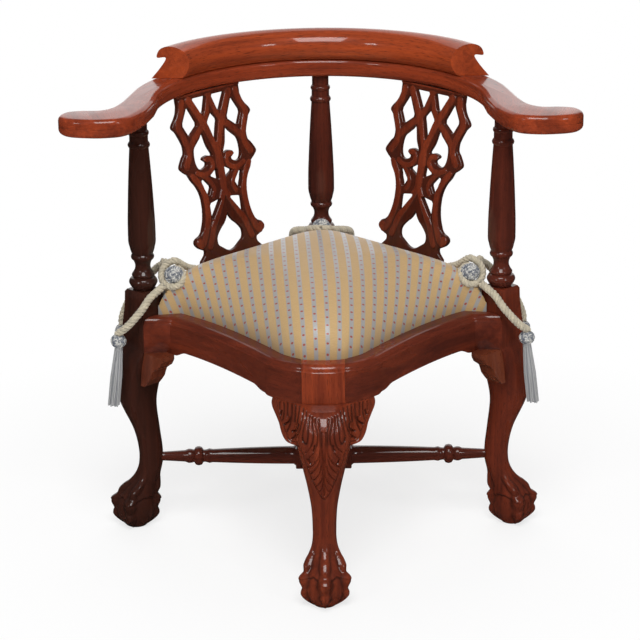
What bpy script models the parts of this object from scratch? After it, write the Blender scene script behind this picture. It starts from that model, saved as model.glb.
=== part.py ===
"""Corner armchair: cabriole legs, pierced splats, half-round arm rail and a roped slip seat.

Metres, +Z up. The front leg points along -Y, and the side posts stand on the X axis.
"""

import math

import bmesh
import bpy
from mathutils import Vector

# Clearances
GLUE = 0.0003
SEAT_GAP = 0.0012
SEAT_POST_GAP = 0.003

# Posts and seat rails
POST_REACH = 0.276
POST_SIDE = 0.050
POST_TOP = 0.395
POST_CHAMFER = 0.004
RAIL_TOP = 0.357
RAIL_BOTTOM = 0.303
RAIL_THICK = 0.045
RAIL_LIP = 0.028
RAIL_ARCH = 0.009
REBATE_DEPTH = 0.020
THUMBNAIL = 0.011
THUMBNAIL_STEP = 0.0015
REAR_RAIL_THICK = 0.042
REAR_RAIL_LIP = 0.026
REAR_RAIL_SETBACK = 0.003

# Bow and hollow of the two front rails
FRONT_POST_BACK = 0.022
FRONT_POST_HALF = 0.035
BOW_RADIUS = 0.104
BOW_ANGLE = math.radians(57)
BOW_STEPS = 4
HEEL_INSET = 0.041
HEEL_FRONT = 0.0315
HEEL_ANGLE = math.radians(37)

# Mortise-and-tenon joints of the seat rails
TENON_DEPTH = 0.013
TENON_ROOT = 0.006
TENON_THICK = 0.012
TENON_HEIGHT = 0.022
TENON_FLOOR = 0.006
FRONT_TENON_INSET = 0.025

# Cabriole legs: height, outer and inner reach from the post axis, half width, roundness
LEG_POINTS = 24
SIDE_KNEE = (
    (0.290, 0.0430, -0.0330, 0.0360, 1.15),
    (0.250, 0.0510, -0.0220, 0.0330, 1.50),
    (0.210, 0.0430, -0.0145, 0.0280, 1.80),
    (0.165, 0.0235, -0.0180, 0.0215, 2.00),
    (0.130, 0.0160, -0.0217, 0.0185, 2.00),
    (0.104, 0.0165, -0.0208, 0.0175, 2.00),
)
FRONT_KNEE = (
    (0.290, 0.0080, -0.0660, 0.0360, 4.00),
    (0.255, 0.0290, -0.0580, 0.0340, 2.60),
    (0.210, 0.0240, -0.0420, 0.0285, 2.10),
    (0.165, 0.0140, -0.0290, 0.0215, 2.00),
    (0.130, 0.0150, -0.0220, 0.0185, 2.00),
    (0.104, 0.0165, -0.0208, 0.0175, 2.00),
)
KNEE_STEPS = 2

# Ball-and-claw foot: height, centre from the post axis, radius, claw height
FOOT = (
    (0.079, 0.0055, 0.0185, 0.0030),
    (0.066, 0.0125, 0.0245, 0.0080),
    (0.054, 0.0170, 0.0295, 0.0085),
    (0.044, 0.0190, 0.0340, 0.0050),
    (0.034, 0.0190, 0.0370, 0.0030),
    (0.021, 0.0190, 0.0350, 0.0040),
    (0.009, 0.0190, 0.0285, 0.0030),
    (0.000, 0.0190, 0.0210, 0.0000),
)
CLAW_ANGLES = (0.0, math.radians(75), math.pi, math.radians(285))
CLAW_WIDTH = 0.26

# Knee brackets, and the wider wings of the front leg: share of the length, share of the drop
BRACKET_LENGTH = 0.040
BRACKET_DROP = 0.048
BRACKET_THICK = 0.026
BRACKET_SETBACK = 0.0005
BRACKET_SWELL = 0.006
BRACKET_CURVE = ((1.0, 0.12), (0.86, 0.30), (0.56, 0.46), (0.42, 0.72), (0.10, 1.0))
WING_LENGTH = 0.060
WING_DROP = 0.056
WING_CURVE = ((1.0, 0.14), (0.84, 0.43), (0.64, 0.62), (0.45, 0.84), (0.15, 1.0))

# Turned columns: radius at heights above the post, and at depths below the arm
COLUMN_SIDES = 12
COLUMN_TENON_RADIUS = 0.009
COLUMN_TENON_LENGTH = 0.016
COLUMN_FOOT = (
    (0.000, 0.0180), (0.009, 0.0212), (0.017, 0.0213), (0.026, 0.0180), (0.028, 0.0152),
    (0.0395, 0.0115), (0.047, 0.0140), (0.052, 0.0172), (0.056, 0.0172),
    (0.059, 0.0160), (0.068, 0.0194), (0.082, 0.0212), (0.094, 0.0212), (0.125, 0.0203),
)
COLUMN_HEAD = (
    (0.0457, 0.0147), (0.0427, 0.0168), (0.0387, 0.0168), (0.0357, 0.0143), (0.0267, 0.0142),
    (0.0247, 0.0157), (0.0207, 0.0157), (0.0187, 0.0134),
)

# Arm rail about the post axes, and its hand rests: sideways and back from a side post
ARM_BOTTOM = 0.666
ARM_THICK = 0.029
ARM_WITHIN = 0.026
ARM_BEYOND = 0.018
ARM_ROUND = 0.008
ARM_LAP = 0.060
ARM_STEPS = 12
ARM_OUTER_END = math.radians(14)
ARM_INNER_END = math.radians(9)
HAND_REST = (
    (0.024, -0.006), (0.036, -0.042), (0.053, -0.059), (0.079, -0.060), (0.102, -0.068), (0.111, -0.090),
    (0.100, -0.112), (0.076, -0.122), (0.0405, -0.124), (0.008, -0.110), (-0.014, -0.060), (-0.026, -0.005),
)
HAND_STEPS = 2

# Crest section: outward from the rail's inner edge, height over the rail
CREST_SECTION = (
    (0.001, 0.0000), (-0.004, 0.0125), (-0.012, 0.0340), (-0.008, 0.0440), (0.006, 0.0495),
    (0.019, 0.0500), (0.030, 0.0460), (0.034, 0.0380), (0.032, 0.0330), (0.022, 0.0330),
    (0.021, 0.0220), (0.034, 0.0090), (0.043, 0.0000),
)
CREST_END = 0.130
CREST_STEPS = 20

# Pierced splats: half outlines, sideways and height above the shoe, drawn for SPLAT_DRAWN between shoe and arm
SPLAT_THICK = 0.011
SPLAT_FOOT_OFFSET = 0.0015
SPLAT_UNDER_ARM = 0.0005
SPLAT_TENON_HALF = 0.050
SPLAT_TENON_LENGTH = 0.009
SPLAT_DRAWN = 0.283
SPLAT_EDGE = (
    (0.067, 0.265), (0.072, 0.252), (0.084, 0.2365), (0.077, 0.2265), (0.0685, 0.209), (0.068, 0.194),
    (0.074, 0.1865), (0.082, 0.173), (0.076, 0.165), (0.067, 0.158), (0.061, 0.1465), (0.054, 0.138),
    (0.0485, 0.124), (0.0475, 0.104), (0.0490, 0.089), (0.054, 0.074), (0.062, 0.064), (0.0705, 0.060),
    (0.0745, 0.053), (0.0705, 0.0455), (0.0620, 0.0405), (0.0565, 0.038), (0.057, 0.031), (0.066, 0.022),
)
SPLAT_HOLES = (
    ((0.0500, 0.2580), (0.0320, 0.2320), (0.0510, 0.2160), (0.0633, 0.2380)),
    ((0.0355, 0.2735), (0.0055, 0.2735), (0.0120, 0.2520), (0.0163, 0.2470)),
    ((0.0240, 0.2160), (0.0180, 0.1950), (0.0120, 0.1780), (0.0235, 0.1800), (0.0285, 0.1775),
     (0.0272, 0.1710), (0.0335, 0.1625), (0.0425, 0.1640), (0.0485, 0.1730), (0.0500, 0.1865),
     (0.0485, 0.1950), (0.0430, 0.2020), (0.0320, 0.2105)),
    ((0.0085, 0.1585), (0.0080, 0.1440), (0.0250, 0.1525)),
    ((0.0350, 0.1480), (0.0260, 0.1340), (0.0370, 0.1260), (0.0420, 0.1340), (0.0430, 0.1460)),
    ((0.0080, 0.1130), (0.0330, 0.0840), (0.0340, 0.1100)),
)
SPLAT_DIAMOND = ((0.000, 0.2465), (0.0105, 0.2325), (0.000, 0.198))
SPLAT_KEYHOLE = (
    (0.000, 0.0885), (0.0036, 0.080), (0.009, 0.0715), (0.019, 0.064), (0.0255, 0.053), (0.0245, 0.0415),
    (0.018, 0.0365), (0.000, 0.0275),
)
SHOE_LENGTH = 0.172
SHOE_WIDTH = 0.020
SHOE_HEIGHT = 0.026

# Stretchers: distance from the tenon's shoulder, radius
STRETCHER_HEIGHT = 0.115
STRETCHER_SIDES = 16
STRETCHER_BLOCK = 0.034
STRETCHER_BLOCK_HALF = 0.044
STRETCHER_STOP = 0.014
STRETCHER_TENON_LENGTH = 0.010
STRETCHER_TENON_RADIUS = 0.007
STRETCHER_NECK = 0.0035
STRETCHER_NECK_RADIUS = 0.0142
STRETCHER_TURNING = (
    (0.077, 0.0105), (0.071, 0.0116), (0.062, 0.0098), (0.058, 0.0150),
    (0.051, 0.0150), (0.047, 0.0098), (0.038, 0.0112), (0.033, 0.0092),
)

# Slip seat
SEAT_FRAME_THICK = 0.018
SEAT_FRAME_SHARE = 0.74
COVER_THICK = 0.0016
WEB_THICK = 0.0016
WEB_STRAP = 0.048
WEB_PITCH = 0.084
WEB_INSET = 0.063
DUST_THICK = 0.001
CROWN = 0.078
CUSHION = (
    (0.985, 0.00), (1.000, 0.14), (0.990, 0.30), (0.945, 0.47),
    (0.850, 0.66), (0.680, 0.85), (0.420, 0.97), (0.100, 1.00),
)

# Rope ties
CORD_RADIUS = 0.0062
ROSETTE_CORD_RADIUS = 0.0052
ROSETTE_START = 0.0045
ROSETTE_PITCH = 0.0112
ROSETTE_TURNS = 1.55
ROSETTE_TILT = math.radians(20)
LOOP_POINTS = 24
SIDE_ROSETTE = (0.226, 0.032, 0.4067)
SIDE_FACING = (-1, -0.25)
REAR_ROSETTE = (0.0, 0.190, 0.4231)
REAR_FACING = (0, -1)
TASSEL_SIDES = 10
TASSEL = (
    (0.000, 0.0060), (-0.004, 0.0120), (-0.013, 0.0150), (-0.022, 0.0120), (-0.026, 0.0088),
    (-0.034, 0.0100), (-0.070, 0.0112), (-0.122, 0.0125),
)

# Worked-out values
FRONT_REACH = POST_REACH - FRONT_POST_BACK
ARM_INNER = POST_REACH - ARM_WITHIN
ARM_OUTER = POST_REACH + ARM_BEYOND
STRETCHER_TENON_REACH = POST_REACH - STRETCHER_STOP
REBATE_FLOOR = RAIL_TOP - REBATE_DEPTH
ARM_TOP = ARM_BOTTOM + ARM_THICK
POST_CORNER = POST_SIDE / math.sqrt(2)
POST_LINE = POST_REACH / math.sqrt(2)
DIAGONAL = math.sqrt(0.5)
BACK_HEIGHT = ARM_BOTTOM - RAIL_TOP
SPLAT_TOP_OFFSET = ARM_INNER + SPLAT_THICK / 2 + SPLAT_UNDER_ARM - POST_LINE
SPLAT_LEAN = (SPLAT_TOP_OFFSET - SPLAT_FOOT_OFFSET) / BACK_HEIGHT
TENON_BASE = RAIL_BOTTOM + TENON_FLOOR
HEM_BOTTOM = REBATE_FLOOR + GLUE
SEAT_FRAME_BOTTOM = HEM_BOTTOM + GLUE
SEAT_FRAME_TOP = SEAT_FRAME_BOTTOM + SEAT_FRAME_THICK
PAD_BOTTOM = SEAT_FRAME_TOP + WEB_THICK + 2 * GLUE
CORNER_BLOCK_TOP = REBATE_FLOOR - DUST_THICK - GLUE

MAHOGANY = (0.23, 0.055, 0.025)
STRIPED_SILK = (0.70, 0.52, 0.27)
CREAM_CORD = (0.66, 0.60, 0.48)
GREY_FRINGE = (0.45, 0.47, 0.50)
LINEN = (0.42, 0.36, 0.27)
BEECH = (0.52, 0.36, 0.20)
HAIR_PAD = (0.75, 0.71, 0.62)


def clear_scene():
    for item in list(bpy.data.objects):
        bpy.data.objects.remove(item)


def finish_material(name, colour, roughness):
    paint = bpy.data.materials.new(name)
    paint.use_nodes = True
    shader = paint.node_tree.nodes["Principled BSDF"]
    shader.inputs["Base Color"].default_value = (*colour, 1.0)
    shader.inputs["Roughness"].default_value = roughness
    shader.inputs["Metallic"].default_value = 0.0
    return paint


def loft(rings):
    """Skin a closed body over rings of equally many points, with a flat cap at each end."""
    body = bmesh.new()
    loops = [[body.verts.new(point) for point in ring] for ring in rings]
    count = len(loops[0])
    for lower, upper in zip(loops, loops[1:]):
        for k in range(count):
            j = (k + 1) % count
            body.faces.new((lower[k], lower[j], upper[j]))
            body.faces.new((lower[k], upper[j], upper[k]))
    body.faces.new(loops[0])
    body.faces.new(loops[-1])
    bmesh.ops.recalc_face_normals(body, faces=body.faces)
    return body


def prism(outline, low, high):
    """Upright body over a plan outline."""
    return loft([[(x, y, z) for x, y in outline] for z in (low, high)])


def solid(name, body):
    """Turn a bmesh into an object with round faces shaded smooth."""
    mesh = bpy.data.meshes.new(name)
    body.to_mesh(mesh)
    body.free()
    item = bpy.data.objects.new(name, mesh)
    bpy.context.scene.collection.objects.link(item)
    return item


def combine(target, other, operation):
    """Union or cut with a helper body, which is then removed."""
    step = target.modifiers.new("joinery", "BOOLEAN")
    step.operation = operation
    step.solver = "EXACT"
    step.object = other
    bpy.context.view_layer.update()
    scene_state = bpy.context.evaluated_depsgraph_get()
    mesh = bpy.data.meshes.new_from_object(target.evaluated_get(scene_state))
    target.modifiers.remove(step)
    target.data = mesh
    bpy.data.objects.remove(other)


def dress(item, paint, parent):
    item.data.materials.clear()
    item.data.materials.append(paint)
    item.data.shade_smooth()
    item.data.set_sharp_from_angle(angle=math.radians(35))
    item.parent = parent
    return item


def twin(item, name, turn):
    """A second piece from the same mesh, turned about the chair's centre line."""
    other = bpy.data.objects.new(name, item.data)
    bpy.context.scene.collection.objects.link(other)
    other.rotation_euler = (0, 0, turn)
    other.parent = item.parent
    return other


def block(centre, along, size):
    """Box body: its length runs along a level direction; size is length, width, height."""
    forward = Vector((along[0], along[1], 0)).normalized()
    across = Vector((-forward.y, forward.x, 0))
    length, width, height = size
    outline = []
    for a, b in ((-1, -1), (1, -1), (1, 1), (-1, 1)):
        corner = Vector((centre[0], centre[1], 0)) + forward * (a * length / 2) + across * (b * width / 2)
        outline.append((corner.x, corner.y))
    return prism(outline, centre[2] - height / 2, centre[2] + height / 2)


def rounded(points, steps, closed=False):
    """Smooth curve through points, with equally many steps between neighbours."""
    count = len(points)
    spans = count if closed else count - 1
    curve = []
    for span in range(spans):
        around = []
        for k in range(span - 1, span + 3):
            around.append(Vector(points[k % count] if closed else points[min(max(k, 0), count - 1)]))
        before, start, end, after = around
        for step in range(steps):
            t = step / steps
            bend = (2 * before - 5 * start + 4 * end - after) * t * t + (3 * start - before - 3 * end + after) * t ** 3
            curve.append(start + (end - before) * t / 2 + bend / 2)
    if not closed:
        curve.append(Vector(points[-1]))
    return curve


def inset(outline, distance):
    """Move a closed plan outline inwards by an even distance, sharp corners too."""
    area = sum(a[0] * b[1] - b[0] * a[1] for a, b in zip(outline, outline[1:] + outline[:1]))
    turn = 1 if area > 0 else -1
    count = len(outline)
    moved = []
    for k, point in enumerate(outline):
        here = Vector(point)
        coming = (here - Vector(outline[k - 1])).normalized()
        going = (Vector(outline[(k + 1) % count]) - here).normalized()
        first = Vector((-turn * coming.y, turn * coming.x))
        second = Vector((-turn * going.y, turn * going.x))
        moved.append(tuple(here + (first + second) * distance / (1 + first.dot(second))))
    return moved


def turned(profile, sides):
    """Round body about +Z from pairs of height and radius."""
    rings = []
    for height, radius in profile:
        angles = [2 * math.pi * k / sides for k in range(sides)]
        rings.append([(radius * math.cos(a), radius * math.sin(a), height) for a in angles])
    return loft(rings)


def mirrored(points, side):
    return [(side * point[0], *point[1:]) for point in points]


def front_edge():
    """Outer edge of the right front rail: bow round the front leg, then a hollow to the post's heel."""
    centre = BOW_RADIUS - FRONT_REACH
    post_angle = math.asin(FRONT_POST_HALF / BOW_RADIUS)
    bow = []
    for step in range(BOW_STEPS + 1):
        angle = post_angle + (BOW_ANGLE - post_angle) * step / BOW_STEPS
        bow.append(Vector((BOW_RADIUS * math.sin(angle), centre - BOW_RADIUS * math.cos(angle))))
    start = bow[-1]
    heel = Vector((POST_REACH - HEEL_INSET, -HEEL_FRONT))
    leaving = Vector((math.cos(BOW_ANGLE), math.sin(BOW_ANGLE)))
    arriving = Vector((math.cos(HEEL_ANGLE), math.sin(HEEL_ANGLE)))
    gap = heel - start
    reach = (gap.x * arriving.y - gap.y * arriving.x) / (leaving.x * arriving.y - leaving.y * arriving.x)
    pull = start + leaving * reach
    for step in range(1, 7):
        t = step / 6
        bow.append(start * (1 - t) ** 2 + pull * (2 * t * (1 - t)) + heel * t * t)
    return bow


def rail_inwards(edge):
    """Inward direction at each point of the rail's outer edge: square to it, but clear of the front post."""
    directions = []
    for k, point in enumerate(edge):
        tangent = edge[min(k + 1, len(edge) - 1)] - edge[max(k - 1, 0)]
        square = Vector((-tangent.y, tangent.x)).normalized()
        clear_of_post = (FRONT_POST_HALF + 2 * GLUE * k - point.x) / RAIL_THICK
        sideways = max(square.x, clear_of_post)
        directions.append(Vector((sideways, math.sqrt(1 - sideways ** 2))))
    return directions


def inner_line(distance):
    """The right front rail's outer edge moved inwards."""
    edge = front_edge()
    return [point + inward * distance for point, inward in zip(edge, rail_inwards(edge))]


def rail_section(floor):
    """Rail section: distance inwards from the outer face, and height."""
    nose = RAIL_TOP - THUMBNAIL
    return (
        (0, floor), (0, nose), (THUMBNAIL_STEP, nose + THUMBNAIL_STEP),
        (THUMBNAIL_STEP + 0.30 * THUMBNAIL, RAIL_TOP - 0.30 * THUMBNAIL),
        (THUMBNAIL_STEP + THUMBNAIL, RAIL_TOP), (RAIL_LIP, RAIL_TOP), (RAIL_LIP, REBATE_FLOOR),
        (RAIL_THICK, REBATE_FLOOR), (RAIL_THICK, floor),
    )


def rail_ring(outer, inward, floor):
    ring = []
    for depth, height in rail_section(floor):
        spot = outer + inward * depth
        ring.append((spot.x, spot.y, height))
    return ring


def heel_face(side):
    """Post corner that the rail's heel meets, and the level direction along the post's face."""
    corner = Vector((side * (POST_REACH + GLUE), -POST_CORNER + GLUE))
    return corner, Vector((-side * DIAGONAL, DIAGONAL))


def front_rail(side):
    """Serpentine rail with a tenon at each end, at full depth over the wings and arched beyond them."""
    edge = front_edge()
    inwards = rail_inwards(edge)
    last = len(edge) - 1
    rings = []
    for k, point in enumerate(edge):
        arched = BOW_STEPS < k < last
        floor = RAIL_BOTTOM + (RAIL_ARCH if arched else 0)
        inward = inwards[k]
        clear = GLUE if k == 0 else 0
        outer = Vector((side * (point.x + clear), point.y))
        rings.append(rail_ring(outer, Vector((side * inward.x, inward.y)), floor))
    corner, along_face = heel_face(side)
    off_face = Vector((-side * DIAGONAL, -DIAGONAL)) * 2 * GLUE
    rings.append(rail_ring(corner + off_face, along_face, RAIL_BOTTOM))
    rail = solid("rail", loft(rings))
    for tenon in (post_tenon(side, -1, 0), front_tenon(side, 0)):
        combine(rail, solid("tenon", tenon), "UNION")
    return rail


def post_tenon(side, facing, clearance):
    """Tenon into a side post: facing -1 enters from the front rail, +1 from the rear rail."""
    into = Vector((side * DIAGONAL, -facing * DIAGONAL))
    post = Vector((side * POST_REACH, 0))
    length = TENON_DEPTH + TENON_ROOT
    centre = post - into * (POST_SIDE / 2 - TENON_DEPTH + length / 2 - clearance)
    size = (length, TENON_THICK + 2 * clearance, TENON_HEIGHT + 2 * clearance)
    return block((centre.x, centre.y, TENON_BASE + TENON_HEIGHT / 2), into, size)


def front_tenon(side, clearance):
    """Tenon of a front rail into the front post."""
    length = TENON_DEPTH + TENON_ROOT
    centre_x = FRONT_POST_HALF - TENON_DEPTH + length / 2 - clearance
    centre_y = -FRONT_REACH + FRONT_TENON_INSET
    size = (length, TENON_THICK + 2 * clearance, TENON_HEIGHT + 2 * clearance)
    return block((side * centre_x, centre_y, TENON_BASE + TENON_HEIGHT / 2), (1, 0), size)


def rear_rail(side):
    """Straight rail from a side post to the rear post, rebated for the seat."""
    outward = Vector((side * DIAGONAL, DIAGONAL))
    along = Vector((-side * DIAGONAL, DIAGONAL))
    middle = outward * POST_LINE
    half = POST_LINE - POST_SIDE / 2 - GLUE
    face = POST_SIDE / 2 - REAR_RAIL_SETBACK
    section = (
        (face, RAIL_BOTTOM), (face, RAIL_TOP), (face - REAR_RAIL_LIP, RAIL_TOP),
        (face - REAR_RAIL_LIP, REBATE_FLOOR), (face - REAR_RAIL_THICK, REBATE_FLOOR),
        (face - REAR_RAIL_THICK, RAIL_BOTTOM),
    )
    rings = []
    for end in (-half, half):
        ring = []
        for depth, height in section:
            spot = middle + along * end + outward * depth
            ring.append((spot.x, spot.y, height))
        rings.append(ring)
    rail = solid("rail", loft(rings))
    rear_tenon = block_turned(post_tenon(side, 1, 0), side)
    for tenon in (post_tenon(side, 1, 0), rear_tenon):
        combine(rail, solid("tenon", tenon), "UNION")
    return rail


def block_turned(body, side):
    """Carry a tenon of a side post round to the rear post, mirrored about the rail's middle."""
    for vert in body.verts:
        vert.co.x, vert.co.y = side * vert.co.y, side * vert.co.x
    bmesh.ops.recalc_face_normals(body, faces=body.faces)
    return body


def leg_ring(height, outer, inner, half_width, roundness, axis):
    """Level section of a leg, pointing along -Y: a diamond at roundness 1, an ellipse at 2."""
    centre = axis + (outer + inner) / 2
    half_reach = (outer - inner) / 2
    ring = []
    for k in range(LEG_POINTS):
        angle = 2 * math.pi * k / LEG_POINTS
        reach = abs(math.cos(angle)) / half_reach
        width = abs(math.sin(angle)) / half_width
        radius = (reach ** roundness + width ** roundness) ** (-1 / roundness)
        ring.append((radius * math.sin(angle), -centre - radius * math.cos(angle), height))
    return ring


def foot_ring(height, centre, radius, claw, axis):
    """Level section of the ball, raised where the four claws grip it."""
    ring = []
    for k in range(LEG_POINTS):
        angle = 2 * math.pi * k / LEG_POINTS
        raised = 0.0
        for claw_angle in CLAW_ANGLES:
            off = math.remainder(angle - claw_angle, 2 * math.pi)
            raised = max(raised, math.exp(-((off / CLAW_WIDTH) ** 2)))
        reach = radius + claw * raised
        ring.append((reach * math.sin(angle), -axis - centre - reach * math.cos(angle), height))
    return ring


def leg_body(top_stations, knee, axis, spare=0.0):
    """Whole leg from its top stations down to the foot; spare swells it for cutting neighbours."""
    rings = []
    for station in rounded(knee, KNEE_STEPS):
        height, outer, inner, half_width, roundness = station
        rings.append(leg_ring(height, outer + spare, inner - spare, half_width + spare, roundness, axis))
    top = [leg_ring(*station, axis) for station in top_stations(spare)]
    feet = [foot_ring(height, centre, radius + spare, claw, axis) for height, centre, radius, claw in FOOT]
    return loft(top + rings + feet)


def side_post(spare):
    """Square post standing on its corner, with a chamfered top."""
    half = POST_CORNER + spare
    cut = half - POST_CHAMFER
    return (
        (POST_TOP, cut, -cut, cut, 1.0),
        (POST_TOP - POST_CHAMFER, half, -half, half, 1.0),
        (RAIL_BOTTOM, half, -half, half, 1.0),
    )


def front_knee_top(spare):
    """Top of the front knee, under the front post."""
    outer = FRONT_REACH - POST_REACH + spare
    inner = outer - RAIL_THICK - 2 * spare
    return ((RAIL_BOTTOM + GLUE, outer, inner, FRONT_POST_HALF + spare, 8.0),)


def stretcher_bore(clearance):
    """Round hole body for a stretcher's tenon, along -Y at a leg's ankle."""
    body = turned(((0, STRETCHER_TENON_RADIUS + clearance), (1, STRETCHER_TENON_RADIUS + clearance)), STRETCHER_SIDES)
    start = STRETCHER_TENON_REACH - STRETCHER_TENON_RADIUS * 3
    length = STRETCHER_TENON_RADIUS * 3 + clearance
    for vert in body.verts:
        x, y, z = vert.co
        vert.co = (x, -start - z * length, STRETCHER_HEIGHT + y)
    return body


def side_leg():
    """Leg of a side or rear post, modelled pointing along -Y, with its mortises and column bore."""
    leg = solid("leg", leg_body(side_post, SIDE_KNEE, POST_REACH))
    for side in (-1, 1):
        mortise = post_tenon(1, side, GLUE)
        for vert in mortise.verts:
            vert.co.x, vert.co.y = vert.co.y, -vert.co.x
        combine(leg, solid("mortise", mortise), "DIFFERENCE")
    depth = COLUMN_TENON_LENGTH + GLUE
    bore = turned(((-depth, COLUMN_TENON_RADIUS + GLUE), (depth, COLUMN_TENON_RADIUS + GLUE)), COLUMN_SIDES)
    for vert in bore.verts:
        vert.co += Vector((0, -POST_REACH, POST_TOP))
    combine(leg, solid("bore", bore), "DIFFERENCE")
    combine(leg, solid("bore", stretcher_bore(GLUE)), "DIFFERENCE")
    return leg


def front_leg():
    """Front leg: bowed corner post with the rail's moulding, carved knee and claw foot in one piece."""
    centre = BOW_RADIUS - FRONT_REACH
    rings = []
    for step in range(7):
        x = FRONT_POST_HALF * (step / 3 - 1)
        outer = Vector((x, centre - math.sqrt(BOW_RADIUS ** 2 - x * x)))
        rings.append(rail_ring(outer, Vector((0, 1)), RAIL_BOTTOM))
    leg = solid("leg", loft(rings))
    combine(leg, solid("knee", leg_body(front_knee_top, FRONT_KNEE, POST_REACH)), "UNION")
    for side in (-1, 1):
        combine(leg, solid("mortise", front_tenon(side, GLUE)), "DIFFERENCE")
    combine(leg, solid("bore", stretcher_bore(GLUE)), "DIFFERENCE")
    return leg


def bracket_outline(length, drop, curve):
    """Bracket seen square to the rail: distance along the rail and height."""
    top = RAIL_BOTTOM - GLUE
    lower = rounded([(share * length, top - fall * drop) for share, fall in curve], 2)
    hidden = -0.1 * length
    upper = [(share * length, top) for share in (0.25, 0.5, 0.75, 1.0)]
    return [(hidden, top)] + upper + [tuple(point) for point in lower] + [(hidden, top - drop)]


def knee_bracket(outline, place, leg_cutter):
    """Bracket under a rail, which leans out with the knee and is fitted round it; place follows the rail's face."""
    top = outline[0][1]
    drop = top - outline[-1][1]
    rings = []
    for depth, swell in ((0, BRACKET_SWELL), (-BRACKET_THICK, 0)):
        ring = []
        for run, height in outline:
            face, outward = place(run)
            spot = face + outward * (depth - BRACKET_SETBACK + swell * (top - height) / drop)
            ring.append((spot.x, spot.y, height))
        rings.append(ring)
    piece = solid("bracket", loft(rings))
    combine(piece, leg_cutter, "DIFFERENCE")
    return piece


def side_leg_bracket(hand):
    """Bracket of a side leg that points along -Y: hand +1 lies to its right, -1 to its left."""
    along = Vector((hand * DIAGONAL, DIAGONAL))
    outward = Vector((hand * DIAGONAL, -DIAGONAL))
    start = Vector((0, -POST_REACH)) + (along + outward) * POST_SIDE / 2

    def place(run):
        return start + along * run, outward

    cutter = solid("cutter", leg_body(side_post, SIDE_KNEE, POST_REACH, GLUE))
    return knee_bracket(bracket_outline(BRACKET_LENGTH, BRACKET_DROP, BRACKET_CURVE), place, cutter)


def front_leg_bracket(hand):
    """Wing of the front leg, following the bow of the rails."""
    middle = Vector((0, BOW_RADIUS - FRONT_REACH))
    post_angle = math.asin(FRONT_POST_HALF / BOW_RADIUS)

    def place(run):
        angle = post_angle + run / BOW_RADIUS
        outward = Vector((hand * math.sin(angle), -math.cos(angle)))
        return middle + outward * BOW_RADIUS, outward

    cutter = solid("cutter", leg_body(front_knee_top, FRONT_KNEE, POST_REACH, GLUE))
    return knee_bracket(bracket_outline(WING_LENGTH, WING_DROP, WING_CURVE), place, cutter)


def column():
    """Turned column standing on a post, with a round tenon at each end."""
    turning = [(POST_TOP + GLUE + height, radius) for height, radius in COLUMN_FOOT]
    turning += [(ARM_BOTTOM - depth, radius) for depth, radius in COLUMN_HEAD]
    turning.append((ARM_BOTTOM - GLUE, COLUMN_HEAD[-1][1]))
    foot = [(POST_TOP - COLUMN_TENON_LENGTH, COLUMN_TENON_RADIUS), (POST_TOP + GLUE, COLUMN_TENON_RADIUS)]
    head = [(ARM_BOTTOM - GLUE, COLUMN_TENON_RADIUS), (ARM_BOTTOM + COLUMN_TENON_LENGTH, COLUMN_TENON_RADIUS)]
    return solid("column", turned(foot + turning + head, COLUMN_SIDES))


def arm_outline(side):
    """Plan of one arm: half-round rail running past the back, and the flared hand rest."""
    past = math.pi / 2 + math.asin(ARM_LAP / ARM_INNER)
    outer = []
    inner = []
    for step in range(ARM_STEPS + 1):
        share = step / ARM_STEPS
        angle = past + (ARM_OUTER_END - past) * share
        outer.append((ARM_OUTER * math.cos(angle), ARM_OUTER * math.sin(angle)))
        angle = past + (ARM_INNER_END - past) * share
        inner.append((ARM_INNER * math.cos(angle), ARM_INNER * math.sin(angle)))
    hand = [(POST_REACH + point.x, point.y) for point in rounded(HAND_REST, HAND_STEPS)]
    return mirrored(outer + hand + inner[::-1], side)


def splat_spot(side, across, height, depth):
    """Point of a splat: sideways, height over the seat rail, and depth outwards from its face."""
    outward = Vector((side * DIAGONAL, DIAGONAL))
    along = Vector((-side * DIAGONAL, DIAGONAL))
    offset = POST_LINE + SPLAT_FOOT_OFFSET + SPLAT_LEAN * height + depth
    spot = outward * offset + along * across
    return (spot.x, spot.y, RAIL_TOP + height)


def splat_slot(side, low, high, clearance):
    """Leaning slab that follows a splat's tenon, for cutting its mortise."""
    half = SPLAT_TENON_HALF + clearance
    deep = SPLAT_THICK / 2 + clearance
    corners = ((low, -deep), (high, -deep), (high, deep), (low, deep))
    rings = []
    for across in (-half, half):
        rings.append([splat_spot(side, across, height, depth) for height, depth in corners])
    return loft(rings)


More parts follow.
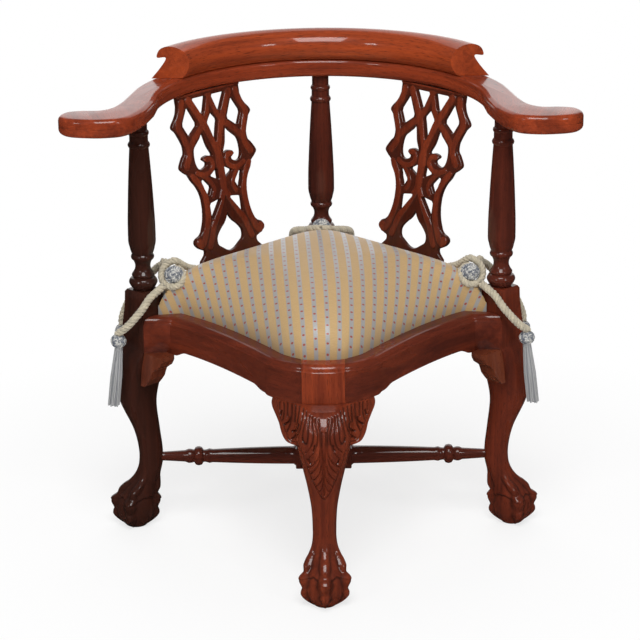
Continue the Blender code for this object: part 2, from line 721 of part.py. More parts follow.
def arm(side):
    """One half of the arm rail, with its lap, column bores and splat mortise."""
    outline = arm_outline(side)
    layers = ((ARM_ROUND, 0), (0.25 * ARM_ROUND, 0.45 * ARM_ROUND), (0, ARM_ROUND))
    rings = []
    for inward, height in layers:
        rings.append([(x, y, ARM_BOTTOM + height) for x, y in inset(outline, inward)])
    for inward, height in layers[::-1]:
        rings.append([(x, y, ARM_TOP - height) for x, y in inset(outline, inward)])
    rail = solid("arm", loft(rings))
    middle = ARM_BOTTOM + ARM_THICK / 2
    far = (-side * (ARM_LAP / 2 + ARM_OUTER / 2), ARM_INNER, middle)
    combine(rail, solid("cut", block(far, (1, 0), (ARM_OUTER, ARM_OUTER, 2 * ARM_THICK))), "DIFFERENCE")
    lap = (0, ARM_INNER, middle - side * (ARM_THICK / 2 - GLUE / 2))
    lap_size = (ARM_LAP + 2 * GLUE, ARM_OUTER, ARM_THICK)
    combine(rail, solid("cut", block(lap, (1, 0), lap_size)), "DIFFERENCE")
    depth = COLUMN_TENON_LENGTH + GLUE
    for x, y in ((side * POST_REACH, 0), (0, POST_REACH)):
        bore = turned(((-depth, COLUMN_TENON_RADIUS + GLUE), (depth, COLUMN_TENON_RADIUS + GLUE)), COLUMN_SIDES)
        for vert in bore.verts:
            vert.co += Vector((x, y, ARM_BOTTOM))
        combine(rail, solid("bore", bore), "DIFFERENCE")
    slot = splat_slot(side, BACK_HEIGHT - SPLAT_TENON_LENGTH, BACK_HEIGHT + SPLAT_TENON_LENGTH + GLUE, GLUE)
    combine(rail, solid("mortise", slot), "DIFFERENCE")
    return rail


def crest():
    """Capping rail: one wave section swept round the back and cut square to the sitter at its ends."""
    rings = []
    for step in range(CREST_STEPS + 1):
        share = step / CREST_STEPS
        ring = []
        for outward, height in CREST_SECTION:
            radius = ARM_INNER + outward
            start = math.asin(CREST_END / radius)
            angle = start + (math.pi - 2 * start) * share
            ring.append((radius * math.cos(angle), radius * math.sin(angle), ARM_TOP + GLUE + height))
        rings.append(ring)
    return solid("crest", loft(rings))


def pierced_sheet(outer, holes):
    """Flat sheet with holes, as triangles in the XY plane."""
    sheet = bmesh.new()
    for outline in [outer] + holes:
        verts = [sheet.verts.new((x, y, 0)) for x, y in outline]
        for k, vert in enumerate(verts):
            sheet.edges.new((vert, verts[(k + 1) % len(verts)]))
    bmesh.ops.triangle_fill(sheet, use_beauty=True, use_dissolve=False, edges=sheet.edges[:], normal=(0, 0, 1))
    return sheet


def both_halves(half):
    """Closed outline from its right half, whose first and last points lie on the centre line."""
    return half + [(-x, y) for x, y in half[-2:0:-1]]


def over_shoe(outline):
    """Heights of the splat's drawing, fitted between the shoe and the arm."""
    fit = (BACK_HEIGHT - SHOE_HEIGHT) / SPLAT_DRAWN
    return [(x, SHOE_HEIGHT + height * fit) for x, height in outline]


def splat_outlines():
    """Outer outline with tenons, and the holes of the tracery."""
    top = BACK_HEIGHT
    edge = over_shoe(SPLAT_EDGE)
    base = SPLAT_EDGE[-1]
    right = [(0, top + SPLAT_TENON_LENGTH), (SPLAT_TENON_HALF, top + SPLAT_TENON_LENGTH)]
    right += [(SPLAT_TENON_HALF, top - GLUE), (SPLAT_EDGE[0][0], top - GLUE)] + edge
    right += [(base[0], SHOE_HEIGHT + 2 * GLUE), (SPLAT_TENON_HALF, SHOE_HEIGHT + 2 * GLUE)]
    right += [(SPLAT_TENON_HALF, SHOE_HEIGHT - SPLAT_TENON_LENGTH), (0, SHOE_HEIGHT - SPLAT_TENON_LENGTH)]
    holes = []
    for hole in SPLAT_HOLES:
        holes.append(over_shoe(hole))
        holes.append(mirrored(over_shoe(hole), -1))
    holes.append(both_halves(over_shoe(SPLAT_DIAMOND)))
    holes.append(both_halves(over_shoe(SPLAT_KEYHOLE)))
    return both_halves(right), holes


def splat(side):
    """Pierced splat: the sheet thickened and leaned back under the arm rail."""
    outer, holes = splat_outlines()
    sheet = pierced_sheet(outer, holes)
    front = list(sheet.faces)
    grown = bmesh.ops.extrude_face_region(sheet, geom=front)["geom"]
    for vert in [part for part in grown if isinstance(part, bmesh.types.BMVert)]:
        vert.co.z = SPLAT_THICK
    for vert in sheet.verts:
        vert.co = splat_spot(side, vert.co.x, vert.co.y, vert.co.z - SPLAT_THICK / 2)
    bmesh.ops.recalc_face_normals(sheet, faces=sheet.faces)
    return solid("splat", sheet)


def shoe(side):
    """Moulded block on the rear rail that holds a splat's foot."""
    outward = Vector((side * DIAGONAL, DIAGONAL))
    along = Vector((-side * DIAGONAL, DIAGONAL))
    middle = outward * (POST_LINE + SPLAT_FOOT_OFFSET + SPLAT_LEAN * (SHOE_HEIGHT - SPLAT_TENON_LENGTH / 2))
    half = SHOE_WIDTH / 2
    section = (
        (-half, GLUE), (-half, 0.3 * SHOE_HEIGHT), (-0.8 * half, 0.45 * SHOE_HEIGHT),
        (-0.72 * half, SHOE_HEIGHT), (0.86 * half, SHOE_HEIGHT), (half, 0.45 * SHOE_HEIGHT), (half, GLUE),
    )
    rings = []
    for end in (-SHOE_LENGTH / 2, SHOE_LENGTH / 2):
        ring = []
        for depth, height in section:
            spot = middle + along * end + outward * depth
            ring.append((spot.x, spot.y, RAIL_TOP + height))
        rings.append(ring)
    piece = solid("shoe", loft(rings))
    slot = splat_slot(side, SHOE_HEIGHT - SPLAT_TENON_LENGTH - GLUE, 2 * SHOE_HEIGHT, GLUE)
    combine(piece, solid("slot", slot), "DIFFERENCE")
    return piece


def stretcher(upper):
    """Turned stretcher along X with a square middle, lapped over or under its twin."""
    shoulder = STRETCHER_TENON_REACH - STRETCHER_TENON_LENGTH
    half = [(STRETCHER_BLOCK_HALF, STRETCHER_BLOCK / 2)]
    half.append((STRETCHER_BLOCK_HALF + STRETCHER_NECK, STRETCHER_NECK_RADIUS))
    half += [(shoulder - distance, radius) for distance, radius in STRETCHER_TURNING]
    half.append((shoulder, STRETCHER_TENON_RADIUS))
    half.append((STRETCHER_TENON_REACH, STRETCHER_TENON_RADIUS))
    stations = [(-reach, radius) for reach, radius in half[::-1]] + half
    rings = []
    for reach, radius in stations:
        ring = []
        squared = abs(reach) <= STRETCHER_BLOCK_HALF
        for k in range(STRETCHER_SIDES):
            angle = 2 * math.pi * k / STRETCHER_SIDES
            grow = 1 / max(abs(math.cos(angle)), abs(math.sin(angle))) if squared else 1
            ring.append((reach, radius * grow * math.cos(angle), STRETCHER_HEIGHT + radius * grow * math.sin(angle)))
        rings.append(ring)
    rod = solid("stretcher", loft(rings))
    lift = STRETCHER_BLOCK / 2 - GLUE / 2
    lap = (0, 0, STRETCHER_HEIGHT + (-lift if upper else lift))
    lap_size = (STRETCHER_BLOCK + 2 * GLUE, 2 * STRETCHER_BLOCK, STRETCHER_BLOCK)
    combine(rod, solid("lap", block(lap, (1, 0), lap_size)), "DIFFERENCE")
    return rod


def corner_block_front():
    """Glue block behind the front post, following the rails' inner faces."""
    line = inner_line(RAIL_THICK + GLUE)
    wing = [point for point in line if point.x > FRONT_POST_HALF / 2][:5]
    back = -FRONT_REACH + RAIL_THICK + 2 * GLUE
    front = [(FRONT_POST_HALF * 0.5, max(back, wing[0].y))] + [(point.x, point.y) for point in wing]
    outline = [(-x, y) for x, y in front[::-1]] + front
    return solid("corner_block", prism(outline, RAIL_BOTTOM + RAIL_ARCH, CORNER_BLOCK_TOP))


def corner_block_side(side):
    """Glue block between a front and a rear rail, beside a side post."""
    line = inner_line(RAIL_THICK + GLUE)
    front = [(point.x, point.y) for point in line[-1:-4:-1]]
    inner_face = math.sqrt(2) * (POST_LINE + POST_SIDE / 2 - REAR_RAIL_SETBACK - REAR_RAIL_THICK - GLUE)
    near = front[0][0]
    far = near - BRACKET_LENGTH
    outline = [(far, inner_face - far), (near, inner_face - near)] + front
    return solid("corner_block", prism(mirrored(outline, side), RAIL_BOTTOM + RAIL_ARCH, CORNER_BLOCK_TOP))


def corner_block_rear():
    """Glue block between the two rear rails, in front of the rear post."""
    inner_face = math.sqrt(2) * (POST_LINE + POST_SIDE / 2 - REAR_RAIL_SETBACK - REAR_RAIL_THICK - GLUE)
    near = POST_CORNER
    far = near + BRACKET_LENGTH
    outline = [(-far, inner_face - far), (far, inner_face - far), (near, inner_face - near), (-near, inner_face - near)]
    return solid("corner_block", prism(outline, RAIL_BOTTOM + RAIL_ARCH, CORNER_BLOCK_TOP))


def seat_half():
    """Right half of the seat's plan inside the rail lips, notched round the side and rear posts."""
    gap = RAIL_LIP + SEAT_GAP
    front = [(0, -FRONT_REACH + gap)] + [(point.x, point.y) for point in inner_line(gap)]
    corner, along_face = heel_face(1)
    off_face = Vector((-DIAGONAL, -DIAGONAL))
    tip = corner + along_face * (gap + 2 * SEAT_POST_GAP) + off_face * SEAT_POST_GAP
    rear_face = math.sqrt(2) * (POST_LINE + POST_SIDE / 2 - REAR_RAIL_SETBACK - REAR_RAIL_LIP - SEAT_GAP)
    inner_corner = POST_REACH - POST_CORNER
    notch = inner_corner - SEAT_POST_GAP / DIAGONAL
    far = (rear_face + notch) / 2
    near = rear_face - far
    return front + [(tip.x, tip.y), (notch, 0), (far, near), (near, far), (0, notch)]


def seat_outline():
    """Closed plan of the seat, and the places in it where its frame rails meet."""
    half = seat_half()
    corner = len(half) - 4
    outline = both_halves(half)
    joints = (0, corner, len(half) - 1, len(outline) - corner)
    return outline, joints


def shrunk(outline, share):
    return [(x * share, y * share) for x, y in outline]


def seat_frame_rail(quarter):
    """One rail of the seat frame, between two of the plan's corners."""
    outline, joints = seat_outline()
    outline = inset(shrunk(outline, CUSHION[0][0]), COVER_THICK + 2 * GLUE)
    start = joints[quarter]
    end = joints[quarter + 1] if quarter < 3 else len(outline)
    outer = [Vector(outline[k % len(outline)]) for k in range(start, end + 1)]
    inner = [point * SEAT_FRAME_SHARE for point in outer]
    for line in (outer, inner):
        line[0] = line[0] + (line[1] - line[0]).normalized() * GLUE
        line[-1] = line[-1] + (line[-2] - line[-1]).normalized() * GLUE
    plan = [tuple(point) for point in outer + inner[::-1]]
    return solid("seat_rail", prism(plan, SEAT_FRAME_BOTTOM, SEAT_FRAME_TOP))


def seat_webbing():
    """Crossed webbing straps on the seat frame, set square to the rails."""
    edges = []
    for strap in (-1, 0, 1):
        edges += [strap * WEB_PITCH - WEB_STRAP / 2, strap * WEB_PITCH + WEB_STRAP / 2]
    reach = POST_LINE - WEB_INSET
    lines = [-reach] + edges + [reach]
    sheet = bmesh.new()
    grid = [[sheet.verts.new(((x - y) * DIAGONAL, (x + y) * DIAGONAL, 0)) for x in lines] for y in lines]
    for row in range(len(lines) - 1):
        for col in range(len(lines) - 1):
            if row % 2 or col % 2:
                corners = (grid[row][col], grid[row][col + 1], grid[row + 1][col + 1], grid[row + 1][col])
                sheet.faces.new(corners)
    bmesh.ops.delete(sheet, geom=[vert for vert in sheet.verts if not vert.link_faces], context="VERTS")
    grown = bmesh.ops.extrude_face_region(sheet, geom=list(sheet.faces))["geom"]
    for vert in sheet.verts:
        vert.co.z = SEAT_FRAME_TOP + GLUE
    for vert in [part for part in grown if isinstance(part, bmesh.types.BMVert)]:
        vert.co.z += WEB_THICK
    bmesh.ops.recalc_face_normals(sheet, faces=sheet.faces)
    return solid("seat_webbing", sheet)


def cushion_rings(shrink, floor, crown):
    """Rings of the crowned seat: drawn-in side, swelling edge and domed top."""
    outline, _ = seat_outline()
    base = inset(outline, shrink)
    rings = []
    for share, rise in CUSHION:
        rings.append([(x * share, y * share, floor + rise * crown) for x, y in base])
    return rings


def seat_padding():
    crown = RAIL_TOP + CROWN - PAD_BOTTOM - COVER_THICK
    return solid("seat_padding", loft(cushion_rings(COVER_THICK + GLUE, PAD_BOTTOM, crown)))


def seat_cover():
    """Fabric shell over the padding and down the sides of the seat frame, open below."""
    crown = RAIL_TOP + CROWN - PAD_BOTTOM
    outer = cushion_rings(0, PAD_BOTTOM, crown)
    inner = cushion_rings(COVER_THICK, PAD_BOTTOM, crown - COVER_THICK)
    hem_outer = [(x, y, HEM_BOTTOM) for x, y, _ in outer[0]]
    hem_inner = [(x, y, HEM_BOTTOM) for x, y, _ in inner[0]]
    return solid("seat_cover", loft(inner[::-1] + [hem_inner, hem_outer] + outer))


def dust_cover():
    """Thin cloth under the seat frame, inside the rails' inner faces."""
    gap = RAIL_THICK + SEAT_GAP
    line = [(point.x, point.y) for point in inner_line(gap)]
    rear_face = math.sqrt(2) * (POST_LINE + POST_SIDE / 2 - REAR_RAIL_SETBACK - REAR_RAIL_THICK - SEAT_GAP)
    side = line[-1][0]
    rear = rear_face - POST_CORNER
    half = [(0, -FRONT_REACH + gap)] + line + [(side, rear_face - side), (POST_CORNER, rear), (0, rear)]
    top = SEAT_FRAME_BOTTOM - GLUE
    return solid("dust_cover", prism(both_halves(half), top - DUST_THICK, top))


def tube(name, points, radius, roundness):
    """Cord along a smooth route."""
    curve = bpy.data.curves.new(name, "CURVE")
    curve.dimensions = "3D"
    curve.bevel_depth = radius
    curve.bevel_resolution = roundness
    curve.use_fill_caps = True
    spline = curve.splines.new("POLY")
    spline.points.add(len(points) - 1)
    for place, point in zip(spline.points, points):
        place.co = (*point, 1)
    item = bpy.data.objects.new(name, curve)
    bpy.context.scene.collection.objects.link(item)
    return item


def rosette_points(centre, facing):
    """Flat spiral of cord, tilted to lie on the cushion's corner and face the chair's middle."""
    inward = Vector(facing).normalized()
    sideways = Vector((-inward.y, inward.x))
    points = []
    count = round(LOOP_POINTS * ROSETTE_TURNS)
    for k in range(count + 1):
        angle = 2 * math.pi * k / LOOP_POINTS
        radius = ROSETTE_START + ROSETTE_PITCH * angle / (2 * math.pi)
        turn = angle - 2 * math.pi * ROSETTE_TURNS
        flat = Vector((radius * math.cos(turn), radius * math.sin(turn)))
        level = inward * flat.x * math.cos(ROSETTE_TILT) + sideways * flat.y
        points.append((centre[0] + level.x, centre[1] + level.y, centre[2] + flat.x * math.sin(ROSETTE_TILT)))
    return points


def least_gap(points, radius):
    """Least clear distance between turns of one tube."""
    least = math.inf
    for k, first in enumerate(points):
        for second in points[k + LOOP_POINTS // 2:]:
            least = min(least, (Vector(first) - Vector(second)).length)
    return least - 2 * radius


def tassel(name, top):
    """Tassel: round head, bound neck and a hanging skirt."""
    item = solid(name, turned([(height, radius) for height, radius in TASSEL], TASSEL_SIDES))
    item.location = top
    return item


def cord_lead(rosette, centre, onward):
    """First stretch of a cord: it butts square against the rosette's rim and runs straight for one diameter."""
    middle = Vector(centre)
    along = (Vector(onward) - middle).normalized()
    rim = 0.0
    for point in rosette:
        offset = Vector(point) - middle
        reach = offset.dot(along)
        beside = max((offset - along * reach).length - CORD_RADIUS, 0)
        if beside < ROSETTE_CORD_RADIUS:
            rim = max(rim, reach + math.sqrt(ROSETTE_CORD_RADIUS ** 2 - beside ** 2))
    start = middle + along * (rim + GLUE)
    return [start, start + along * 2 * CORD_RADIUS]


def side_cords():
    """Routes of the right tie: in front of the post and behind it, each down to its tassel."""
    front = [(0.2490, -0.0220, 0.4000), (0.2650, -0.0400, 0.3930), (0.2820, -0.0480, 0.3810), (0.3000, -0.0480, 0.3620),
             (0.3120, -0.0435, 0.3460), (0.3170, -0.0400, 0.3360), (0.3170, -0.0400, 0.3290)]
    rear = [(0.2720, 0.0520, 0.3920), (0.2880, 0.0500, 0.3790), (0.3030, 0.0480, 0.3600),
            (0.3130, 0.0445, 0.3450), (0.3170, 0.0420, 0.3360), (0.3170, 0.0420, 0.3290)]
    return {"front": front, "rear": rear}


def rear_cords():
    """Routes of the rear tie, one each side of the rear post."""
    right = [(0.0440, 0.2500, 0.4090), (0.0485, 0.2760, 0.3900), (0.0490, 0.2980, 0.3660),
             (0.0450, 0.3120, 0.3460), (0.0430, 0.3170, 0.3360), (0.0430, 0.3170, 0.3290)]
    return {"right": right, "left": mirrored(right, -1)}


def tie(name, centre, facing, routes, side=1):
    """One rope tie: rosette, two cords and their tassels; side -1 mirrors it to the left."""
    rosette = rosette_points(centre, facing)
    print(name, "least gap between turns", round(least_gap(rosette, ROSETTE_CORD_RADIUS) * 1000, 2), "mm")
    pieces = [(tube(name + "_rosette", mirrored(rosette, side), ROSETTE_CORD_RADIUS, 1), "cord")]
    for ending, route in routes.items():
        start, straight = cord_lead(rosette, centre, route[0])
        run = [start] + rounded([straight] + route[:-1], 2) + [Vector(route[-1])]
        pieces.append((tube(name + "_cord_" + ending, mirrored(run, side), CORD_RADIUS, 2), "cord"))
        foot = mirrored([route[-1]], side)[0]
        pieces.append((tassel(name + "_tassel_" + ending, Vector(foot) - Vector((0, 0, GLUE))), "fringe"))
    return pieces


def build_frame(parent, wood):
    """Glued frame of the chair."""
    left = math.radians(-90)
    legs = {"left_leg": left, "right_leg": -left, "rear_leg": math.pi}
    pieces = {"front_leg": front_leg()}
    first = side_leg()
    dress(first, wood["left_leg"], parent)
    first.name = "left_leg"
    first.rotation_euler = (0, 0, left)
    for name, turn in list(legs.items())[1:]:
        twin(first, name, turn)
    for hand, word in ((-1, "left"), (1, "right")):
        pieces["front_leg_bracket_" + word] = front_leg_bracket(hand)
        pieces["front_" + word + "_rail"] = front_rail(hand)
        pieces["rear_" + word + "_rail"] = rear_rail(hand)
        pieces[word + "_corner_block"] = corner_block_side(hand)
        pieces[word + "_splat"] = splat(hand)
        pieces[word + "_shoe"] = shoe(hand)
        pieces[word + "_arm"] = arm(hand)
    pieces["front_corner_block"] = corner_block_front()
    pieces["rear_corner_block"] = corner_block_rear()
    pieces["crest"] = crest()
    for name, item in pieces.items():
        item.name = name
        dress(item, wood[name], parent)
    for hand, word in ((-1, "right"), (1, "left")):
        bracket = dress(side_leg_bracket(hand), wood["bracket"], parent)
        bracket.name = "left_leg_bracket_" + ("front" if hand > 0 else "rear")
        bracket.rotation_euler = (0, 0, left)
        twin(bracket, "right_leg_bracket_" + ("rear" if hand > 0 else "front"), -left)
        twin(bracket, "rear_leg_bracket_" + word, math.pi)
    post = dress(column(), wood["column"], parent)
    post.name = "left_column"
    post.location = (-POST_REACH, 0, 0)
    twin(post, "right_column", 0).location = (POST_REACH, 0, 0)
    twin(post, "rear_column", 0).location = (0, POST_REACH, 0)
    across = dress(stretcher(True), wood["stretcher"], parent)
    across.name = "cross_stretcher"
    along = dress(stretcher(False), wood["stretcher"], parent)
    along.name = "long_stretcher"
    along.rotation_euler = (0, 0, math.pi / 2)


def build_seat(parent, cloth):
    """Lift-out seat with its ties; the parent empty stands on the lifting axis."""
    words = ("front_right", "rear_right", "rear_left", "front_left")
    pieces = [(seat_frame_rail(k), "seat_frame_" + word, "beech") for k, word in enumerate(words)]
    pieces += [(seat_webbing(), "seat_webbing", "linen"), (seat_padding(), "seat_padding", "padding")]
    pieces += [(seat_cover(), "seat_cover", "silk"), (dust_cover(), "dust_cover", "linen")]
    for item, name, paint in pieces:
        item.name = name
        dress(item, cloth[paint], parent)
    ties = tie("left_tie", SIDE_ROSETTE, SIDE_FACING, side_cords(), -1)
    ties += tie("right_tie", SIDE_ROSETTE, SIDE_FACING, side_cords())
    ties += tie("rear_tie", REAR_ROSETTE, REAR_FACING, rear_cords())
    for item, paint in ties:
        item.data.materials.append(cloth[paint])
        item.parent = parent


def wood_finishes():
    """One mahogany finish for each kind of piece, a little lighter or darker from board to board."""
    names = ["front_leg", "left_leg", "bracket", "column", "stretcher", "crest", "front_corner_block", "rear_corner_block"]
    for word in ("left", "right"):
        names += ["front_leg_bracket_" + word, "front_" + word + "_rail", "rear_" + word + "_rail"]
        names += [word + "_corner_block", word + "_splat", word + "_shoe", word + "_arm"]
    finishes = {}
    for k, name in enumerate(names):
        shade = 0.9 + 0.05 * (k % 5)
        finishes[name] = finish_material(name + "_mahogany", [value * shade for value in MAHOGANY], 0.28)
    return finishes


def main():
    clear_scene()
    frame = bpy.data.objects.new("chair_frame", None)
    seat = bpy.data.objects.new("lifting_seat", None)
    for empty in (frame, seat):
        bpy.context.scene.collection.objects.link(empty)
    cloth = {
        "silk": finish_material("striped_silk", STRIPED_SILK, 0.6),
        "cord": finish_material("cream_cord", CREAM_CORD, 0.8),
        "fringe": finish_material("grey_fringe", GREY_FRINGE, 0.8),
        "linen": finish_material("linen", LINEN, 0.9),
        "beech": finish_material("beech", BEECH, 0.6),
        "padding": finish_material("hair_padding", HAIR_PAD, 0.95),
    }
    build_frame(frame, wood_finishes())
    build_seat(seat, cloth)


main()
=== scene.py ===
"""Looks of the corner armchair: carved mahogany frame, striped slip seat and twisted rope ties."""

import math
import random

import bmesh
import bpy
import numpy as np
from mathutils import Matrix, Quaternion, Vector


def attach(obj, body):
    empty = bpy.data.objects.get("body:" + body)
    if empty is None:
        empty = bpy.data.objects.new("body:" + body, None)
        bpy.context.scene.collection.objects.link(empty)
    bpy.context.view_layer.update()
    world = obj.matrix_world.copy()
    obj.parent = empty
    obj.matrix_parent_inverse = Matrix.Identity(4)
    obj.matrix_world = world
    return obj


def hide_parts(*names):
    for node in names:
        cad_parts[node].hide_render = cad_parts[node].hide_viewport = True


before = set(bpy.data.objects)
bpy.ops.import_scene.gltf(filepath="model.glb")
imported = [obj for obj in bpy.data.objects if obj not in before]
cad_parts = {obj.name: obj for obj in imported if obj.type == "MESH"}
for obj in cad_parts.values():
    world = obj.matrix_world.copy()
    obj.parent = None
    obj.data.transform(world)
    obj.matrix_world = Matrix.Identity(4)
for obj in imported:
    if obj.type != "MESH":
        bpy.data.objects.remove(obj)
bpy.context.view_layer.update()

FRAME_BODY = "chair_frame"
SEAT_BODY = "slip_seat"

# Sizes of the frame, most of them shared with the construction
GLUE = 0.0003
SEAT_GAP = 0.0012
POST_REACH = 0.276
POST_SIDE = 0.05
POST_CORNER = POST_SIDE / math.sqrt(2)
POST_TOP = 0.395
POST_CHAMFER = 0.004
RAIL_TOP = 0.357
RAIL_BOTTOM = 0.303
RAIL_THICK = 0.045
RAIL_LIP = 0.028
REAR_RAIL_SETBACK = 0.003
REAR_RAIL_THICK = 0.042
RAIL_ARCH = 0.0075
FRONT_RAIL_FLOOR = 0.2975
REBATE_FLOOR = 0.337
THUMBNAIL = 0.011
THUMBNAIL_STEP = 0.0015
FRONT_REACH = 0.254
FRONT_POST_HALF = 0.0318
BOW_RADIUS = 0.104
FRONT_BOW_CENTRE = BOW_RADIUS - FRONT_REACH
BOW_ANGLE = math.radians(57)
HEEL = (0.235, -0.0315)
HEEL_ANGLE = math.radians(37)
ARM_BOTTOM = 0.666
ARM_TOP = 0.695
ARM_INNER = 0.25
ARM_OUTER = 0.294
SEAT_TOP = 0.435
DIAGONAL = math.sqrt(0.5)
POST_LINE = POST_REACH * DIAGONAL


# Shapes

def smooth_line(points, steps, closed=False):
    """Smooth curve through points, with equally many steps between neighbours."""
    points = np.asarray(points, float)
    count = len(points)
    t = np.arange(steps)[:, None] / steps
    runs = []
    for k in range(count if closed else count - 1):
        around = [(k + j) % count if closed else min(max(k + j, 0), count - 1) for j in (-1, 0, 1, 2)]
        a, b, c, d = points[around]
        bend = (2 * a - 5 * b + 4 * c - d) * t ** 2 + (3 * b - a - 3 * c + d) * t ** 3
        runs.append(b + (c - a) * t / 2 + bend / 2)
    if not closed:
        runs.append(points[-1:])
    return np.vstack(runs)


def even_line(points, count):
    """Points spread evenly along a line."""
    points = np.asarray(points, float)
    gone = np.concatenate([[0], np.cumsum(np.linalg.norm(np.diff(points, axis=0), axis=1))])
    spots = np.linspace(0, gone[-1], count)
    return np.stack([np.interp(spots, gone, points[:, k]) for k in range(points.shape[1])], axis=1)


def off_line(spots, line):
    """Distance of flat spots from a line."""
    least = np.full(len(spots), np.inf)
    for start, end in zip(line[:-1], line[1:]):
        along = end - start
        share = np.clip((spots - start) @ along / max(along @ along, 1e-12), 0, 1)
        least = np.minimum(least, np.linalg.norm(spots - start - share[:, None] * along, axis=1))
    return least


def incised(spots, lines, width, depth):
    """Depth of gouge cuts along lines."""
    cut = np.zeros(len(spots))
    for line in lines:
        apart = off_line(spots, smooth_line(line, 4))
        cut = np.maximum(cut, depth * np.exp(-(apart / width) ** 2))
    return cut


def line_length(points):
    """Length of a line."""
    return float(np.linalg.norm(np.diff(np.asarray(points, float), axis=0), axis=1).sum())


def arcs(points, steps=6):
    """Turning profile from (place, radius, bulge): each stretch bows out by its bulge."""
    profile = [points[0][:2]]
    for (place, radius, _), (next_place, next_radius, bulge) in zip(points, points[1:]):
        along = Vector((next_place - place, next_radius - radius))
        square = Vector((-along.y, along.x)).normalized()
        if square.y < 0:
            square.negate()
        count = steps if bulge else 1
        for step in range(1, count + 1):
            t = step / count
            spot = Vector((place, radius)) + along * t + square * (bulge * 4 * t * (1 - t))
            profile.append((spot.x, spot.y))
    return profile


def ring_faces(rows, cols, start=0):
    """Quads between rows of closed rings, and a cap at each end."""
    index = np.arange(rows * cols).reshape(rows, cols) + start
    after = np.roll(index, -1, axis=1)
    quads = np.stack([index[:-1], after[:-1], after[1:], index[1:]], axis=-1).reshape(-1, 4)
    return quads.tolist() + [index[0][::-1].tolist(), index[-1].tolist()]


def skin(name, *bodies):
    """One object from closed bodies, each a stack of rings."""
    verts = []
    faces = []
    for rings in bodies:
        rings = np.asarray(rings, float)
        faces += ring_faces(*rings.shape[:2], start=len(verts))
        verts += rings.reshape(-1, 3).tolist()
    return mesh_object(name, verts, faces)


def mesh_object(name, verts, faces):
    mesh = bpy.data.meshes.new(name)
    mesh.from_pydata(verts, [], faces)
    body = bmesh.new()
    body.from_mesh(mesh)
    bmesh.ops.recalc_face_normals(body, faces=body.faces)
    body.to_mesh(mesh)
    body.free()
    mesh.shade_smooth()
    mesh.set_sharp_from_angle(angle=math.radians(40))
    return in_scene(name, mesh)


def in_scene(name, data):
    """New object in the scene."""
    item = bpy.data.objects.new(name, data)
    bpy.context.scene.collection.objects.link(item)
    return item


def as_mesh(item):
    """Mesh of an object with its modifiers applied."""
    return bpy.data.meshes.new_from_object(item.evaluated_get(bpy.context.evaluated_depsgraph_get()))


def places(mesh):
    """Vertex places of a mesh, as an array."""
    spots = np.empty(len(mesh.vertices) * 3)
    mesh.vertices.foreach_get("co", spots)
    return spots.reshape(-1, 3)


def set_places(mesh, spots):
    mesh.vertices.foreach_set("co", spots.ravel())


def at_level(outline, level):
    """Ring of a flat outline at a height."""
    return np.column_stack([outline, np.full(len(outline), level)])


def both_halves(half):
    """Closed outline from its right half."""
    half = np.asarray(half, float)
    return np.vstack([half, half[-2:0:-1] * (-1, 1)])


def mark(item, name, values):
    """Keep a value or a vector for each vertex, for the finish to read."""
    values = np.asarray(values, float)
    kind = "FLOAT_VECTOR" if values.ndim == 2 else "FLOAT"
    word = "vector" if values.ndim == 2 else "value"
    layer = item.data.attributes.new(name, kind, "POINT")
    layer.data.foreach_set(word, values.ravel())


def upright_grain(spots):
    return spots[:, [2, 0, 1]]


def arc_grain(spots):
    reach = np.hypot(spots[:, 0], spots[:, 1])
    return np.stack([0.27 * np.arctan2(spots[:, 1], spots[:, 0]), reach, spots[:, 2]], axis=1)


def level_grain(along):
    """Grain along a level direction."""
    along = Vector((along[0], along[1])).normalized()

    def grain(spots):
        run = spots[:, 0] * along.x + spots[:, 1] * along.y
        beside = spots[:, 1] * along.x - spots[:, 0] * along.y
        return np.stack([run, beside, spots[:, 2]], axis=1)
    return grain


def wooden(item, grain, paint, *nodes):
    """A piece of the frame, with the grain of its board."""
    mark(item, "grain", grain(places(item.data)))
    return fitted(item, FRAME_BODY, "mahogany", paint, *nodes)


def fitted(item, body, slot, paint, *nodes):
    """Give a piece its finish and its body, and hide the nodes that it stands for."""
    item.data.materials.append(paint)
    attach(item, body)
    if nodes:
        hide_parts(*nodes)
    return item


def frames_along(path):
    """Steady pair of directions square to a path at each point."""
    path = np.asarray(path, float)
    tangents = np.gradient(path, axis=0)
    tangents /= np.linalg.norm(tangents, axis=1)[:, None]
    first = np.cross(tangents[0], (0.31, 0.17, 0.94))
    sides = []
    for tangent in tangents:
        first = first - tangent * first.dot(tangent)
        first = first / np.linalg.norm(first)
        sides.append(first)
    sides = np.array(sides)
    return sides, np.cross(tangents, sides)


def tube_rings(path, radii, sides):
    """Rings of a round tube along a path."""
    path = np.asarray(path, float)
    across, up = frames_along(path)
    angles = np.linspace(0, 2 * math.pi, sides, endpoint=False)
    turn = across[:, None] * np.cos(angles)[None, :, None] + up[:, None] * np.sin(angles)[None, :, None]
    return path[:, None] + turn * np.broadcast_to(radii, len(path))[:, None, None]


def rope_strands(path, radius, pitch):
    """Three strands laid round each other along a path."""
    count = max(12, int(line_length(path) / 0.0011))
    path = even_line(path, count)
    across, up = frames_along(path)
    gone = np.linspace(0, line_length(path), count)
    strands = []
    for strand in range(3):
        turn = 2 * math.pi * (gone / pitch + strand / 3)
        lay = across * np.cos(turn)[:, None] + up * np.sin(turn)[:, None]
        strands.append(tube_rings(path + lay * radius * 0.47, radius * 0.53, 10))
    return strands


# Finishes

PORE_COLOUR = (0.035, 0.01, 0.006)
# Colour of the painted shade in the recesses of the carving, the feet and the splats
RECESS_SHADE_COLOUR = (0.028, 0.008, 0.005)
STRIPE_PITCH = 0.019
STRIPE_SPREAD = 1.76
STRIPE_SKEW = 0.035


